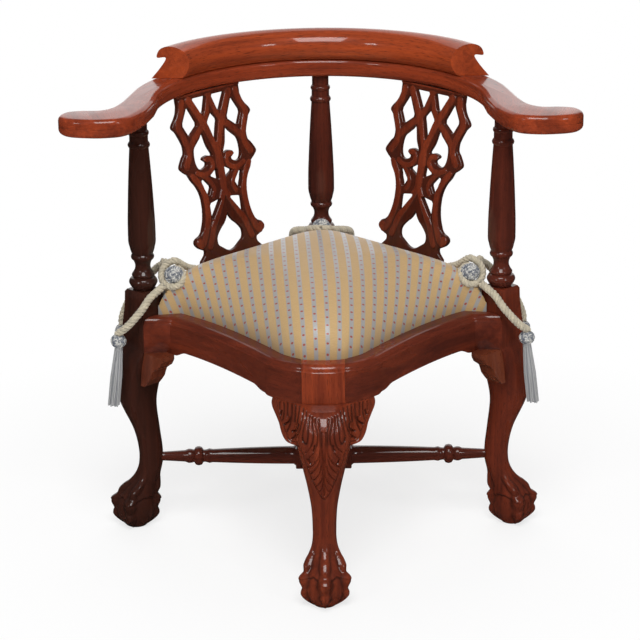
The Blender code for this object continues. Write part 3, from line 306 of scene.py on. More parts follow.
def calc(tree, kind, *values):
    """Math node over numbers or sockets."""
    node = tree.nodes.new("ShaderNodeMath")
    node.operation = kind
    for socket, value in zip(node.inputs, values):
        if isinstance(value, bpy.types.NodeSocket):
            tree.links.new(value, socket)
        else:
            socket.default_value = value
    return node.outputs[0]


def noise(tree, vector, scale, detail, stretch=(1, 1, 1), distortion=0.0):
    """Noise over coordinates that are stretched first."""
    mapping = tree.nodes.new("ShaderNodeMapping")
    mapping.inputs["Scale"].default_value = stretch
    tree.links.new(vector, mapping.inputs["Vector"])
    node = tree.nodes.new("ShaderNodeTexNoise")
    node.inputs["Scale"].default_value = scale
    node.inputs["Detail"].default_value = detail
    node.inputs["Distortion"].default_value = distortion
    tree.links.new(mapping.outputs["Vector"], node.inputs["Vector"])
    return node.outputs["Fac"]


def span(tree, value, low, high, to_low=0.0, to_high=1.0):
    """Carry a value from one range to another."""
    node = tree.nodes.new("ShaderNodeMapRange")
    for name, number in (("From Min", low), ("From Max", high), ("To Min", to_low), ("To Max", to_high)):
        node.inputs[name].default_value = number
    tree.links.new(value, node.inputs["Value"])
    return node.outputs["Result"]


def blend(tree, share, first, second):
    """Mix two colours or colour sockets."""
    node = tree.nodes.new("ShaderNodeMix")
    node.data_type = "RGBA"
    tree.links.new(share, node.inputs["Factor"])
    ends = [socket for socket in node.inputs if socket.type == "RGBA"]
    for socket, colour in zip(ends, (first, second)):
        if isinstance(colour, bpy.types.NodeSocket):
            tree.links.new(colour, socket)
        else:
            socket.default_value = (*colour, 1.0)
    return [socket for socket in node.outputs if socket.type == "RGBA"][0]


def bump(tree, height, distance, strength=1.0):
    node = tree.nodes.new("ShaderNodeBump")
    node.inputs["Distance"].default_value = distance
    node.inputs["Strength"].default_value = strength
    tree.links.new(height, node.inputs["Height"])
    return node.outputs["Normal"]


def new_material(name):
    paint = bpy.data.materials.new(name)
    paint.use_nodes = True
    return paint, paint.node_tree, paint.node_tree.nodes["Principled BSDF"]


def new_group(name, inputs, outputs):
    """Shader node group with named sockets."""
    group = bpy.data.node_groups.new(name, "ShaderNodeTree")
    for label, kind in inputs:
        group.interface.new_socket(label, in_out="INPUT", socket_type="NodeSocket" + kind)
    for label, kind in outputs:
        group.interface.new_socket(label, in_out="OUTPUT", socket_type="NodeSocket" + kind)
    return group, group.nodes.new("NodeGroupInput"), group.nodes.new("NodeGroupOutput")


def mahogany_figure():
    """Streaks, pores and slow colour change of mahogany along its grain."""
    group, given, made = new_group(
        "mahogany_figure",
        (("Grain", "Vector"), ("Pale", "Color"), ("Deep", "Color")),
        (("Color", "Color"), ("Roughness", "Float"), ("Height", "Float")))
    grain = given.outputs["Grain"]
    streaks = noise(group, grain, 1.0, 5, (5, 170, 170), 0.35)
    bands = noise(group, grain, 1.0, 3, (3, 32, 32), 0.6)
    pores = noise(group, grain, 1.0, 2, (60, 1500, 1500))
    share = calc(group, "ADD", calc(group, "MULTIPLY", streaks, 0.55), calc(group, "MULTIPLY", bands, 0.75))
    colour = blend(group, span(group, share, 0.45, 0.86), given.outputs["Deep"], given.outputs["Pale"])
    pore = span(group, pores, 0.3, 0.42)
    darkened = blend(group, pore, PORE_COLOUR, colour)
    group.links.new(darkened, made.inputs["Color"])
    group.links.new(span(group, bands, 0.3, 0.7, 0.34, 0.25), made.inputs["Roughness"])
    group.links.new(pore, made.inputs["Height"])
    return group


def mahogany(name, pale, deep, coat=0.55, from_object=None, paint_recess_shade=False):
    """Lacquered mahogany; from_object turns object coordinates along the grain, and the last flag darkens
    recesses with painted shade.
    """
    paint, tree, shader = new_material(name)
    node = tree.nodes.new("ShaderNodeGroup")
    node.node_tree = FIGURE
    node.inputs["Pale"].default_value = (*pale, 1)
    node.inputs["Deep"].default_value = (*deep, 1)
    if from_object:
        source = tree.nodes.new("ShaderNodeTexCoord").outputs["Object"]
        turn = tree.nodes.new("ShaderNodeMapping")
        turn.inputs["Rotation"].default_value = from_object
        tree.links.new(source, turn.inputs["Vector"])
        tree.links.new(turn.outputs["Vector"], node.inputs["Grain"])
    else:
        source = tree.nodes.new("ShaderNodeAttribute")
        source.attribute_name = "grain"
        tree.links.new(source.outputs["Vector"], node.inputs["Grain"])
    colour = node.outputs["Color"]
    # Painted shade: recesses darkened by the share marked on each vertex
    if paint_recess_shade:
        painted_recess_shade = tree.nodes.new("ShaderNodeAttribute")
        painted_recess_shade.attribute_name = "painted_recess_shade"
        colour = blend(tree, painted_recess_shade.outputs["Fac"], colour, RECESS_SHADE_COLOUR)
    tree.links.new(colour, shader.inputs["Base Color"])
    tree.links.new(node.outputs["Roughness"], shader.inputs["Roughness"])
    tree.links.new(bump(tree, node.outputs["Height"], 0.00004, 0.25), shader.inputs["Normal"])
    shader.inputs["Specular IOR Level"].default_value = 0.08
    shader.inputs["Coat Weight"].default_value = coat
    shader.inputs["Coat Roughness"].default_value = 0.06
    return paint


def fraction(tree, value, pitch, shift=0.0):
    """Place within a repeat, from 0 to 1."""
    return calc(tree, "FRACT", calc(tree, "ADD", calc(tree, "DIVIDE", value, pitch), shift))


def striped_silk():
    """Gold silk with silvery stripes and a row of red dots along each stripe."""
    paint, tree, shader = new_material("striped_silk")
    spots = tree.nodes.new("ShaderNodeTexCoord").outputs["Object"]
    parts = tree.nodes.new("ShaderNodeSeparateXYZ")
    tree.links.new(spots, parts.inputs["Vector"])
    drop = calc(tree, "SUBTRACT", SEAT_TOP, parts.outputs["Z"])
    lean = calc(tree, "MULTIPLY_ADD", drop, STRIPE_SPREAD, 1.0)
    leaned = calc(tree, "MULTIPLY", parts.outputs["X"], lean)
    sideways = calc(tree, "MULTIPLY_ADD", parts.outputs["Y"], STRIPE_SKEW, leaned)
    along = calc(tree, "SUBTRACT", drop, parts.outputs["Y"])
    place = fraction(tree, sideways, STRIPE_PITCH, 0.5)
    off = calc(tree, "ABSOLUTE", calc(tree, "SUBTRACT", place, 0.5))
    stripe = span(tree, off, 0.2, 0.165)
    number = calc(tree, "FLOOR", calc(tree, "ADD", calc(tree, "DIVIDE", sideways, STRIPE_PITCH), 0.5))
    offset = calc(tree, "FRACT", calc(tree, "MULTIPLY", number, 0.5))
    step = fraction(tree, along, STRIPE_PITCH, offset)
    past = calc(tree, "SUBTRACT", step, 0.5)
    far = calc(tree, "SQRT", calc(tree, "ADD", calc(tree, "POWER", past, 2), calc(tree, "POWER", off, 2)))
    dot = span(tree, far, 0.125, 0.095)
    threads = noise(tree, spots, 1.0, 2, (900, 900, 900))
    slubs = noise(tree, spots, 1.0, 3, (60, 900, 900))
    gold = blend(tree, slubs, (0.43, 0.27, 0.11), (0.55, 0.37, 0.17))
    silver = blend(tree, threads, (0.27, 0.265, 0.26), (0.38, 0.365, 0.35))
    cloth = blend(tree, dot, blend(tree, stripe, gold, silver), (0.33, 0.06, 0.04))
    tree.links.new(cloth, shader.inputs["Base Color"])
    tree.links.new(span(tree, stripe, 0, 1, 0.70, 0.36), shader.inputs["Roughness"])
    tree.links.new(bump(tree, threads, 0.0003, 0.5), shader.inputs["Normal"])
    shader.inputs["Sheen Weight"].default_value = 0.25
    return paint


def yarn(name, pale, deep, scale, shade=None):
    """Spun yarn: fine fibres over two tones; shade names a mark that picks between them."""
    paint, tree, shader = new_material(name)
    spots = tree.nodes.new("ShaderNodeTexCoord").outputs["Object"]
    fibres = noise(tree, spots, scale, 3)
    share = fibres
    if shade:
        source = tree.nodes.new("ShaderNodeAttribute")
        source.attribute_name = shade
        share = calc(tree, "MULTIPLY_ADD", fibres, 0.25, source.outputs["Fac"])
    tree.links.new(blend(tree, share, deep, pale), shader.inputs["Base Color"])
    tree.links.new(bump(tree, fibres, 0.0004, 0.6), shader.inputs["Normal"])
    tree.links.new(span(tree, fibres, 0, 1, 0.75, 0.9), shader.inputs["Roughness"])
    shader.inputs["Sheen Weight"].default_value = 0.3
    return paint


def woven(name, pale, deep, scale):
    """Plain woven linen."""
    paint, tree, shader = new_material(name)
    spots = tree.nodes.new("ShaderNodeTexCoord").outputs["Object"]
    warp = noise(tree, spots, scale, 2, (1, 0.08, 1))
    weft = noise(tree, spots, scale, 2, (0.08, 1, 1))
    share = calc(tree, "MULTIPLY_ADD", warp, 0.5, calc(tree, "MULTIPLY", weft, 0.5))
    tree.links.new(blend(tree, share, deep, pale), shader.inputs["Base Color"])
    tree.links.new(bump(tree, share, 0.0004, 0.7), shader.inputs["Normal"])
    shader.inputs["Roughness"].default_value = 0.9
    return paint


FIGURE = mahogany_figure()
ARM_BOARD = mahogany("mahogany_arm", (0.33, 0.051, 0.016), (0.15, 0.023, 0.009))
CREST_BOARD = mahogany("mahogany_crest", (0.42, 0.068, 0.018), (0.20, 0.031, 0.010))
# Boards with the last flag set get painted shade in their recesses: carving, legs and splats
CARVED_BOARD = mahogany("mahogany_carving", (0.22, 0.038, 0.014), (0.10, 0.017, 0.008), paint_recess_shade=True)
LIGHT_BOARD = mahogany("mahogany_light_board", (0.32, 0.053, 0.017), (0.14, 0.022, 0.009))
RAIL_BOARD = mahogany("mahogany_rail", (0.17, 0.029, 0.012), (0.07, 0.013, 0.007))
LEG_BOARD = mahogany("mahogany_leg", (0.17, 0.029, 0.012), (0.07, 0.013, 0.007), paint_recess_shade=True)
# The left leg and the left column are given darker tones than the other legs and columns
DARK_LEG_BOARD = mahogany("mahogany_dark_leg", (0.055, 0.015, 0.009), (0.024, 0.008, 0.005), paint_recess_shade=True)
SPLAT_BOARD = mahogany("mahogany_splat", (0.24, 0.040, 0.014), (0.11, 0.018, 0.008), paint_recess_shade=True)
DARK_BOARD = mahogany("mahogany_dark_board", (0.12, 0.023, 0.012), (0.040, 0.010, 0.007))
LEFT_COLUMN_BOARD = mahogany("mahogany_left_column", (0.046, 0.013, 0.008), (0.018, 0.007, 0.005))
HIDDEN_BOARD = mahogany("mahogany_block", (0.20, 0.040, 0.018), (0.085, 0.016, 0.008), 0.3, (0, 0, 0.6))
BEECH = mahogany("beech_rail", (0.55, 0.37, 0.20), (0.42, 0.26, 0.13), 0.0, (0, 0, 0.8))
BRACKET_BOARD = mahogany("mahogany_bracket", (0.17, 0.040, 0.017), (0.075, 0.017, 0.009), 0.5,
                         (0, math.pi / 2, 0))
SILK = striped_silk()
CREAM = yarn("cream_cord", (0.52, 0.46, 0.34), (0.09, 0.09, 0.09), 900, "shade")
BOUCLE = yarn("mottled_boucle", (0.62, 0.61, 0.57), (0.035, 0.055, 0.10), 1200, "shade")
FRINGE = yarn("grey_fringe", (0.42, 0.42, 0.42), (0.10, 0.11, 0.13), 1200, "shade")
LINEN = woven("linen", (0.40, 0.34, 0.25), (0.22, 0.18, 0.12), 1400)


# Camera

CAMERA_PLACE = (-0.0039, -3.636, 1.607)
CAMERA_TARGET = (-0.0039, 0.0, 0.3405)
CAMERA_ROLL = math.radians(-0.52)
CAMERA_LENS = 139.5


def set_camera():
    lens = bpy.data.cameras.new("camera")
    lens.lens = CAMERA_LENS
    lens.sensor_width = 36
    camera = in_scene("camera", lens)
    camera.location = CAMERA_PLACE
    camera.rotation_mode = "QUATERNION"
    look = (Vector(CAMERA_TARGET) - camera.location).to_track_quat("-Z", "Y")
    camera.rotation_quaternion = look @ Quaternion((0, 0, 1), CAMERA_ROLL)
    bpy.context.scene.camera = camera


# Rope ties

CORD_RADIUS = 0.0062
ROSETTE_RADIUS = 0.0057
ROSETTE_STEPS = range(11, 38)
ROSETTE_START = 0.005
ROSETTE_PITCH = 0.0122
ROSETTE_TURNS = 1.55
LOOP_POINTS = 24
ROSETTE_LAY = 0.017
CORD_LAY = 0.019
KNOT_SIZE = (0.0132, 0.0085, 0.0118)
KNOT_CURLS = 420
CURL_LOOP = 0.0024
CURL_RADIUS = 0.00105
CURL_SHADES = (0.0, 0.1, 0.3, 0.6, 0.9)
STRAND_POINTS = 9
STRAND_SIDES = 6
SKIRT_STRANDS = 56
SKIRT_LENGTH = 0.096
SKIRT_DROP = 0.0205
SKIRT_LEAN = 0.035
GOLDEN_ANGLE = 2.399963
SIDE_TILT = 60
SIDE_TAIL = ((-0.015, 0.024, 0.008), (-0.023, 0.034, 0.0015), (-0.03, 0.042, -0.002))
TIES = {
    "right_tie": ((0.2280, 0.0000, 0.4150), (-0.25, 1), {
        "front": ((0.2650, -0.0290, 0.3880), (0.2760, -0.0415, 0.3745), (0.2875, -0.0480, 0.3620),
                  (0.2996, -0.048, 0.349), (0.3094, -0.044, 0.3405), (0.3139, -0.0405, 0.3365),
                  (0.3145, -0.04, 0.3335)),
        "rear": ((0.2440, 0.0270, 0.4270), (0.2560, 0.0420, 0.4160), (0.2670, 0.0510, 0.4030),
                 (0.278, 0.053, 0.39), (0.29, 0.05, 0.377), (0.303, 0.048, 0.36),
                 (0.311, 0.0445, 0.343), (0.3145, 0.042, 0.331), (0.3145, 0.042, 0.3215)),
    }),
    "rear_tie": ((0.0, 0.190, 0.4300), (0, -1), {
        "right": ((0.0440, 0.2500, 0.4090), (0.0485, 0.2760, 0.3900), (0.0490, 0.2980, 0.3660),
                  (0.045, 0.312, 0.346), (0.043, 0.317, 0.336), (0.043, 0.317, 0.329)),
        "left": ((-0.0440, 0.2500, 0.4090), (-0.0485, 0.2760, 0.3900), (-0.0490, 0.2980, 0.3660),
                 (-0.045, 0.312, 0.346), (-0.043, 0.317, 0.336), (-0.043, 0.317, 0.329)),
    }),
}


def rosette_line(centre, facing, tilt, tail):
    """Flat spiral of rope, raised towards one side, with its tail laid along the cushion."""
    inward = Vector(facing).normalized()
    sideways = Vector((-inward.y, inward.x))
    points = []
    for k in ROSETTE_STEPS:
        angle = 2 * math.pi * k / LOOP_POINTS
        radius = ROSETTE_START + ROSETTE_PITCH * k / LOOP_POINTS
        turn = angle - 2 * math.pi * ROSETTE_TURNS
        flat = Vector((radius * math.cos(turn), radius * math.sin(turn)))
        level = inward * flat.x * math.cos(tilt) + sideways * flat.y
        points.append((centre[0] + level.x, centre[1] + level.y, centre[2] + flat.x * math.sin(tilt)))
    return np.array(points + [tuple(np.add(centre, step)) for step in tail])


def cord_line(rosette, centre, route):
    """A cord butts on the rosette's rim, runs over the rail and hangs to its tassel."""
    middle = Vector(centre)
    along = (Vector(route[0]) - middle).normalized()
    rim = 0.0
    for point in rosette:
        offset = Vector(point) - middle
        reach = offset.dot(along)
        beside = max((offset - along * reach).length - CORD_RADIUS, 0)
        if beside < ROSETTE_RADIUS:
            rim = max(rim, reach + math.sqrt(ROSETTE_RADIUS ** 2 - beside ** 2))
    start = middle + along * (rim + GLUE)
    points = [start, start + along * 2 * CORD_RADIUS] + [Vector(spot) for spot in route]
    return smooth_line([tuple(point) for point in points], 8)


def rope(name, path, radius, pitch):
    """Rope of three plies, with painted shade darkening the grooves between them."""
    strands = np.array(rope_strands(path, radius, pitch))
    axis = strands.mean(axis=(0, 2))
    reach = np.linalg.norm(strands - axis[None, :, None], axis=-1)
    # Painted shade on top of the plies' own tones: each ply darkens from its crown towards the grooves
    crown = smooth_step(reach, 0.5 * radius, 0.95 * radius)
    tones = np.array((0.95, 0.85, 0.7))[:, None, None]
    item = skin(name, *strands)
    mark(item, "shade", (tones * (0.20 + 0.80 * crown)).ravel())
    return item


def curls(name, centre, size, count, seed):
    """Knot of looped yarn round a centre; size is the half-width each way."""
    chance = random.Random(seed)
    bodies = []
    shades = []
    for _ in range(count):
        way = Vector((chance.gauss(0, 1), chance.gauss(0, 1), chance.gauss(0, 1))).normalized()
        spot = Vector(centre) + Vector([way[k] * size[k] for k in range(3)])
        first = way.orthogonal().normalized()
        second = way.cross(first)
        spin = chance.uniform(0, 6.3)
        loop = CURL_LOOP * chance.uniform(0.7, 1.2)
        path = []
        for k in range(STRAND_POINTS):
            angle = spin + k * 0.62
            lift = 0.0016 * math.sin(k * 0.4) - 0.0006
            path.append(spot + (first * math.cos(angle) + second * math.sin(angle)) * loop + way * lift)
        bodies.append(tube_rings([tuple(point) for point in path], CURL_RADIUS, STRAND_SIDES))
        shades += [chance.choice(CURL_SHADES)] * (STRAND_POINTS * STRAND_SIDES)
    item = skin(name, *bodies)
    mark(item, "shade", shades)
    return item


def skirt(name, top, seed):
    """Hanging strands of a tassel, bound at the neck."""
    chance = random.Random(seed)
    bodies = []
    shades = []
    for k in range(SKIRT_STRANDS):
        angle = GOLDEN_ANGLE * k
        share = math.sqrt((k + 0.5) / SKIRT_STRANDS)
        low = 0.0085 * share
        high = 0.0055 * share
        length = SKIRT_LENGTH - chance.uniform(0, 0.004)
        wave = chance.uniform(0, 6.3)
        path = []
        for step in range(STRAND_POINTS):
            t = step / (STRAND_POINTS - 1)
            reach = high + (low - high) * min(1, 2 * t)
            swing = angle + 0.12 * math.sin(wave + 3 * t)
            lean = SKIRT_LEAN * t * top[0]
            path.append((top[0] + lean + reach * math.cos(swing), top[1] + reach * math.sin(swing),
                         top[2] - SKIRT_DROP - t * length))
        bodies.append(tube_rings(path, 0.0011, STRAND_SIDES))
        shades += [chance.uniform(0.25, 0.85)] * (STRAND_POINTS * STRAND_SIDES)
    item = skin(name, *bodies)
    mark(item, "shade", shades)
    return item


def tassel_head(name, top, seed):
    """Round mottled head with a bound neck."""
    profile = [(0, 0.004), (-0.0025, 0.0078), (-0.0065, 0.0101), (-0.0105, 0.0106), (-0.0145, 0.0099),
               (-0.0185, 0.0078), (-0.021, 0.006), (-0.025, 0.006)]
    core = lathe_rings(smooth_line(profile, 3), 20) + np.array(top)
    item = skin(name, core)
    mark(item, "shade", np.full(len(item.data.vertices), 0.35))
    loops = curls(name + "_loops", (top[0], top[1], top[2] - 0.0102), (0.0101, 0.0101, 0.0090), 190, seed)
    return joined(item, loops)


def joined(item, *others):
    """One object from several."""
    body = bmesh.new()
    for part in (item, *others):
        body.from_mesh(part.data)
    body.to_mesh(item.data)
    body.free()
    for part in others:
        bpy.data.objects.remove(part)
    return item


def lathe_rings(profile, sides):
    """Rings about +Z from pairs of height and radius."""
    angles = np.linspace(0, 2 * math.pi, sides, endpoint=False)
    profile = np.asarray(profile, float)
    reach = profile[:, 1][:, None]
    return np.stack([reach * np.cos(angles), reach * np.sin(angles),
                     np.broadcast_to(profile[:, 0][:, None], (len(profile), sides))], axis=-1)


def make_tie(name, centre, facing, routes, side, tilt=20, tail=()):
    """Rosette, two cords and their tassels; side -1 mirrors them to the left."""
    mirror = np.array((side, 1, 1))
    spiral = rosette_line(centre, facing, math.radians(tilt), tail)
    line = smooth_line(spiral * mirror, 3)
    rosette = rope(name + "_rosette.piece", line, ROSETTE_RADIUS, ROSETTE_LAY)
    fitted(rosette, SEAT_BODY, "cream_cord", CREAM, name + "_rosette")
    middle = np.array(centre) * mirror + np.array((0, -0.003 if tilt > 30 else 0, 0.003))
    knot = curls(name + "_knot", tuple(middle), KNOT_SIZE, KNOT_CURLS, 7)
    fitted(knot, SEAT_BODY, "cream_cord", BOUCLE)
    for number, (ending, route) in enumerate(routes.items()):
        run = cord_line(spiral[:len(ROSETTE_STEPS)], centre, route) * mirror
        cord = rope(name + "_cord_" + ending + ".piece", run, CORD_RADIUS, CORD_LAY)
        fitted(cord, SEAT_BODY, "cream_cord", CREAM, name + "_cord_" + ending)
        top = tuple(run[-1])
        head = tassel_head(name + "_tassel_head_" + ending, top, 20 + number)
        fitted(head, SEAT_BODY, "cream_cord", BOUCLE)
        strands = skirt(name + "_tassel_skirt_" + ending, top, 40 + number)
        fitted(strands, SEAT_BODY, "grey_fringe", FRINGE, name + "_tassel_" + ending)


# Seat rails and cushion

def front_edge(steps):
    """Outer edge of the right front rail: bow round the front leg, then a hollow to the post's heel."""
    angles = np.linspace(math.asin(FRONT_POST_HALF / BOW_RADIUS), BOW_ANGLE, steps)
    bow = np.stack([BOW_RADIUS * np.sin(angles), FRONT_BOW_CENTRE - BOW_RADIUS * np.cos(angles)], axis=1)
    start = Vector(bow[-1])
    heel = Vector(HEEL)
    leaving = Vector((math.cos(BOW_ANGLE), math.sin(BOW_ANGLE)))
    arriving = Vector((math.cos(HEEL_ANGLE), math.sin(HEEL_ANGLE)))
    gap = heel - start
    reach = (gap.x * arriving.y - gap.y * arriving.x) / (leaving.x * arriving.y - leaving.y * arriving.x)
    pull = start + leaving * reach
    t = np.linspace(0, 1, steps + 1)[1:, None]
    hollow = np.array(start) * (1 - t) ** 2 + np.array(pull) * 2 * t * (1 - t) + np.array(heel) * t * t
    return np.vstack([bow, hollow])


def inward_ways(edge):
    """Directions square to the rail's outer edge, clear of the front post."""
    tangent = np.gradient(edge, axis=0)
    square = np.stack([-tangent[:, 1], tangent[:, 0]], axis=1)
    square /= np.linalg.norm(square, axis=1)[:, None]
    clear = (FRONT_POST_HALF - edge[:, 0]) / RAIL_THICK
    sideways = np.maximum(square[:, 0], clear)
    return np.stack([sideways, np.sqrt(1 - sideways ** 2)], axis=1)


def rail_profile(floor):
    """Rail section: distance inwards from the outer face, and height."""
    nose = RAIL_TOP - THUMBNAIL
    angles = np.linspace(0, math.pi / 2, 9)
    rise = THUMBNAIL - THUMBNAIL_STEP
    edge = [(THUMBNAIL_STEP + THUMBNAIL * (1 - math.cos(a)), nose + THUMBNAIL_STEP + rise * math.sin(a))
            for a in angles]
    return [(0.0005, floor), (0, floor + 0.0005), (0, nose), *edge,
            (RAIL_LIP - 0.001, RAIL_TOP), (RAIL_LIP, RAIL_TOP - 0.001),
            (RAIL_LIP, REBATE_FLOOR), (RAIL_THICK, REBATE_FLOOR), (RAIL_THICK, floor)]


def rail_ring(outer, inward, floor):
    section = np.array(rail_profile(floor))
    level = np.asarray(outer)[None] + np.asarray(inward)[None] * section[:, :1]
    return np.column_stack([level, section[:, 1]])


def front_rail(side):
    """Serpentine front rail."""
    edge = front_edge(48)
    inward = inward_ways(edge)
    flip = np.array((side, 1))
    x = edge[:, 0]
    arch = 0.3 * smooth_step(x, 0.083, 0.087) + 0.7 * smooth_step(x, 0.091, 0.104)
    floors = FRONT_RAIL_FLOOR + RAIL_ARCH * arch
    floors -= RAIL_ARCH * smooth_step(x, 0.212, 0.228)
    edge[0, 0] += GLUE
    rings = [rail_ring(point * flip, way * flip, floor) for point, way, floor in zip(edge, inward, floors)]
    corner = np.array((side * (POST_REACH + GLUE), -POST_CORNER + GLUE))
    off_face = np.array((-side, -1)) * DIAGONAL * 2 * GLUE
    rings.append(rail_ring(corner + off_face, (-side * DIAGONAL, DIAGONAL), FRONT_RAIL_FLOOR))
    word = "right" if side > 0 else "left"
    item = skin("front_" + word + "_rail.piece", rings)
    return wooden(item, level_grain((0.736 * side, 0.677)), RAIL_BOARD, "front_" + word + "_rail")


def seat_plan():
    """Closed plan of the slip seat inside the rail lips, notched round the posts."""
    gap = RAIL_LIP + SEAT_GAP
    edge = front_edge(16)
    front = edge + inward_ways(edge) * gap
    half = [(0, -FRONT_REACH + gap), *map(tuple, front), (0.2535, -0.0118), (0.2415, 0.0), (0.256, 0.015),
            (0.0162, 0.2525), (0, 0.2364)]
    return both_halves(half)


# Cushion: share of the plan and height above its base; the plan is rounded step by step above the edge
CUSHION_BASE = 0.358
CUSHION_POINTS = 320
ROUNDED_ABOVE = 0.012
ROUNDING = 300
CUSHION = (
    (0.99, -0.0205), (1.0, -0.004), (1.0005, 0.004), (1.0005, 0.0112), (0.996, 0.0195), (0.984, 0.0285),
    (0.962, 0.0375), (0.928, 0.047), (0.88, 0.0565), (0.8, 0.0675), (0.68, 0.078), (0.52, 0.086),
    (0.32, 0.0905), (0.1, 0.092), (0.002, 0.0921),
)


def make_cushion():
    """Crowned slip seat with its cover drawn over the edge."""
    outline = even_line(np.vstack([seat_plan(), seat_plan()[:1]]), CUSHION_POINTS + 1)[:-1]
    rounded = 0
    rings = []
    for share, rise in smooth_line(CUSHION, 5):
        while rise > ROUNDED_ABOVE and rounded < ROUNDING * (1 - share):
            outline = (np.roll(outline, 1, axis=0) + outline * 2 + np.roll(outline, -1, axis=0)) / 4
            rounded += 1
        rings.append(at_level(outline * share, CUSHION_BASE + rise))
    item = skin("seat_cushion", rings)
    fitted(item, SEAT_BODY, "striped_silk", SILK, "seat_cover", "seat_padding")


STRAP_WIDTH = 0.048
STRAP_LENGTH = 0.264
STRAP_PITCH = 0.084
STRAP_THICK = 0.0008
WEAVE = 0.0005
WEB_LEVEL = 0.3567
DUST_LEVEL = 0.3368


def make_underside():
    """Interlaced webbing and the dust cover below it."""
    bodies = []
    for strap in (-1, 0, 1):
        for way in (0, 1):
            run = np.linspace(-STRAP_LENGTH / 2, STRAP_LENGTH / 2, 67)
            lift = WEAVE * np.cos(math.pi * run / STRAP_PITCH) * (1 if (strap + way) % 2 else -1)
            rings = []
            for place, rise in zip(run, lift):
                ring = []
                for right, top in ((-1, -1), (1, -1), (1, 1), (-1, 1)):
                    pair = (place, strap * STRAP_PITCH + right * STRAP_WIDTH / 2)
                    u, v = pair if way else pair[::-1]
                    height = WEB_LEVEL + rise + top * STRAP_THICK / 2
                    ring.append(((u - v) * DIAGONAL, (u + v) * DIAGONAL, height))
                rings.append(ring)
            bodies.append(rings)
    web = skin("seat_webbing.piece", *bodies)
    fitted(web, SEAT_BODY, "linen", LINEN, "seat_webbing")
    edge = front_edge(16)
    line = edge + inward_ways(edge) * (RAIL_THICK + SEAT_GAP)
    rear = math.sqrt(2) * (POST_LINE + POST_SIDE / 2 - REAR_RAIL_SETBACK - REAR_RAIL_THICK - SEAT_GAP)
    half = [(0, -FRONT_REACH + RAIL_THICK + SEAT_GAP), *map(tuple, line), (line[-1][0], rear - line[-1][0]),
            (POST_CORNER, rear - POST_CORNER), (0, rear - POST_CORNER)]
    plan = both_halves(half)
    rings = []
    for share, low in ((0.02, 0.00045), (0.5, 0.0004), (0.95, 0.0001), (1.0, 0.0)):
        rings.append(at_level(plan * share, DUST_LEVEL - low))
    rings += [ring + (0, 0, 0.0005) for ring in rings[::-1]]
    cover = skin("dust_cover.piece", rings)
    fitted(cover, SEAT_BODY, "linen", LINEN, "dust_cover")


# Legs

ANKLE = 0.104
SQUARENESS = 1.02
LEG_SIDES = 160
FOOT_LEVELS = np.linspace(0.1035, 0, 110)
# Side posts: height, half of the square's diagonal
POST = (
    (POST_TOP, 0.0255), (POST_TOP - POST_CHAMFER, 0.0292), (0.372, 0.03), (0.352, 0.0325),
    (0.332, POST_CORNER),
)
# Knees: height, reach outwards and inwards from the post, half width, roundness
SIDE_KNEE = (
    (RAIL_BOTTOM, POST_CORNER, -POST_CORNER, POST_CORNER, SQUARENESS),
    (0.29, 0.043, -0.033, 0.036, 1.15), (0.25, 0.051, -0.022, 0.033, 1.5),
    (0.21, 0.043, -0.0145, 0.028, 1.8), (0.165, 0.0235, -0.018, 0.0215, 2.0),
    (0.13, 0.016, -0.0217, 0.0185, 2.0), (0.104, 0.0165, -0.0208, 0.0175, 2.0),
)
FRONT_KNEE = (
    (FRONT_RAIL_FLOOR, -0.022, -0.067, 0.036, 8.0), (0.293, -0.006, -0.0665, 0.0372, 5.5),
    (0.286, 0.005, -0.0655, 0.0382, 4.0), (0.277, 0.0125, -0.064, 0.0392, 3.2),
    (0.264, 0.02, -0.0605, 0.04, 2.7), (0.25, 0.0238, -0.0555, 0.04, 2.4),
    (0.2325, 0.0248, -0.0485, 0.0382, 2.2), (0.2, 0.0205, -0.039, 0.0305, 2.05),
    (0.176, 0.016, -0.0315, 0.025, 2.0), (0.147, 0.014, -0.025, 0.0198, 2.0),
    (0.125, 0.0152, -0.0218, 0.018, 2.0), (0.104, 0.0165, -0.0208, 0.0175, 2.0),
)
# Foot: height, centre out from the post, radius
FOOT = (
    (0.079, 0.0062, 0.0165), (0.07, 0.012, 0.019), (0.061, 0.017, 0.0222), (0.053, 0.0205, 0.0255),
    (0.046, 0.0228, 0.0282), (0.039, 0.0235, 0.03), (0.029, 0.0235, 0.0308), (0.018, 0.0235, 0.029),
    (0.0075, 0.0235, 0.023), (0.0, 0.0235, 0.0165),
)
CLAW_ANGLES = (0.0, math.radians(75), math.pi, math.radians(285))
# Claws: height, lift, width as an angle
CLAW = (
    (0.104, 0.0, 0.3), (0.092, 0.0008, 0.3), (0.084, 0.0024, 0.29), (0.077, 0.0052, 0.28),
    (0.0698, 0.0077, 0.28), (0.0625, 0.0086, 0.27), (0.057, 0.0064, 0.23), (0.0529, 0.005, 0.22),
    (0.049, 0.0076, 0.26), (0.044, 0.0096, 0.28), (0.0387, 0.009, 0.28), (0.0325, 0.0056, 0.23),
    (0.028, 0.0042, 0.2), (0.024, 0.0062, 0.22), (0.0182, 0.0078, 0.22), (0.012, 0.0068, 0.17),
    (0.006, 0.0045, 0.12), (0.0, 0.0015, 0.08),
)


def table_at(table, heights, steps=8):
    """Columns of a table at other heights, along a smooth curve."""
    curve = smooth_line(table, steps)[::-1]
    return [np.interp(heights, curve[:, 0], curve[:, k]) for k in range(1, curve.shape[1])]


def smooth_step(value, low, high):
    t = np.clip((value - low) / (high - low), 0, 1)
    return t * t * (3 - 2 * t)


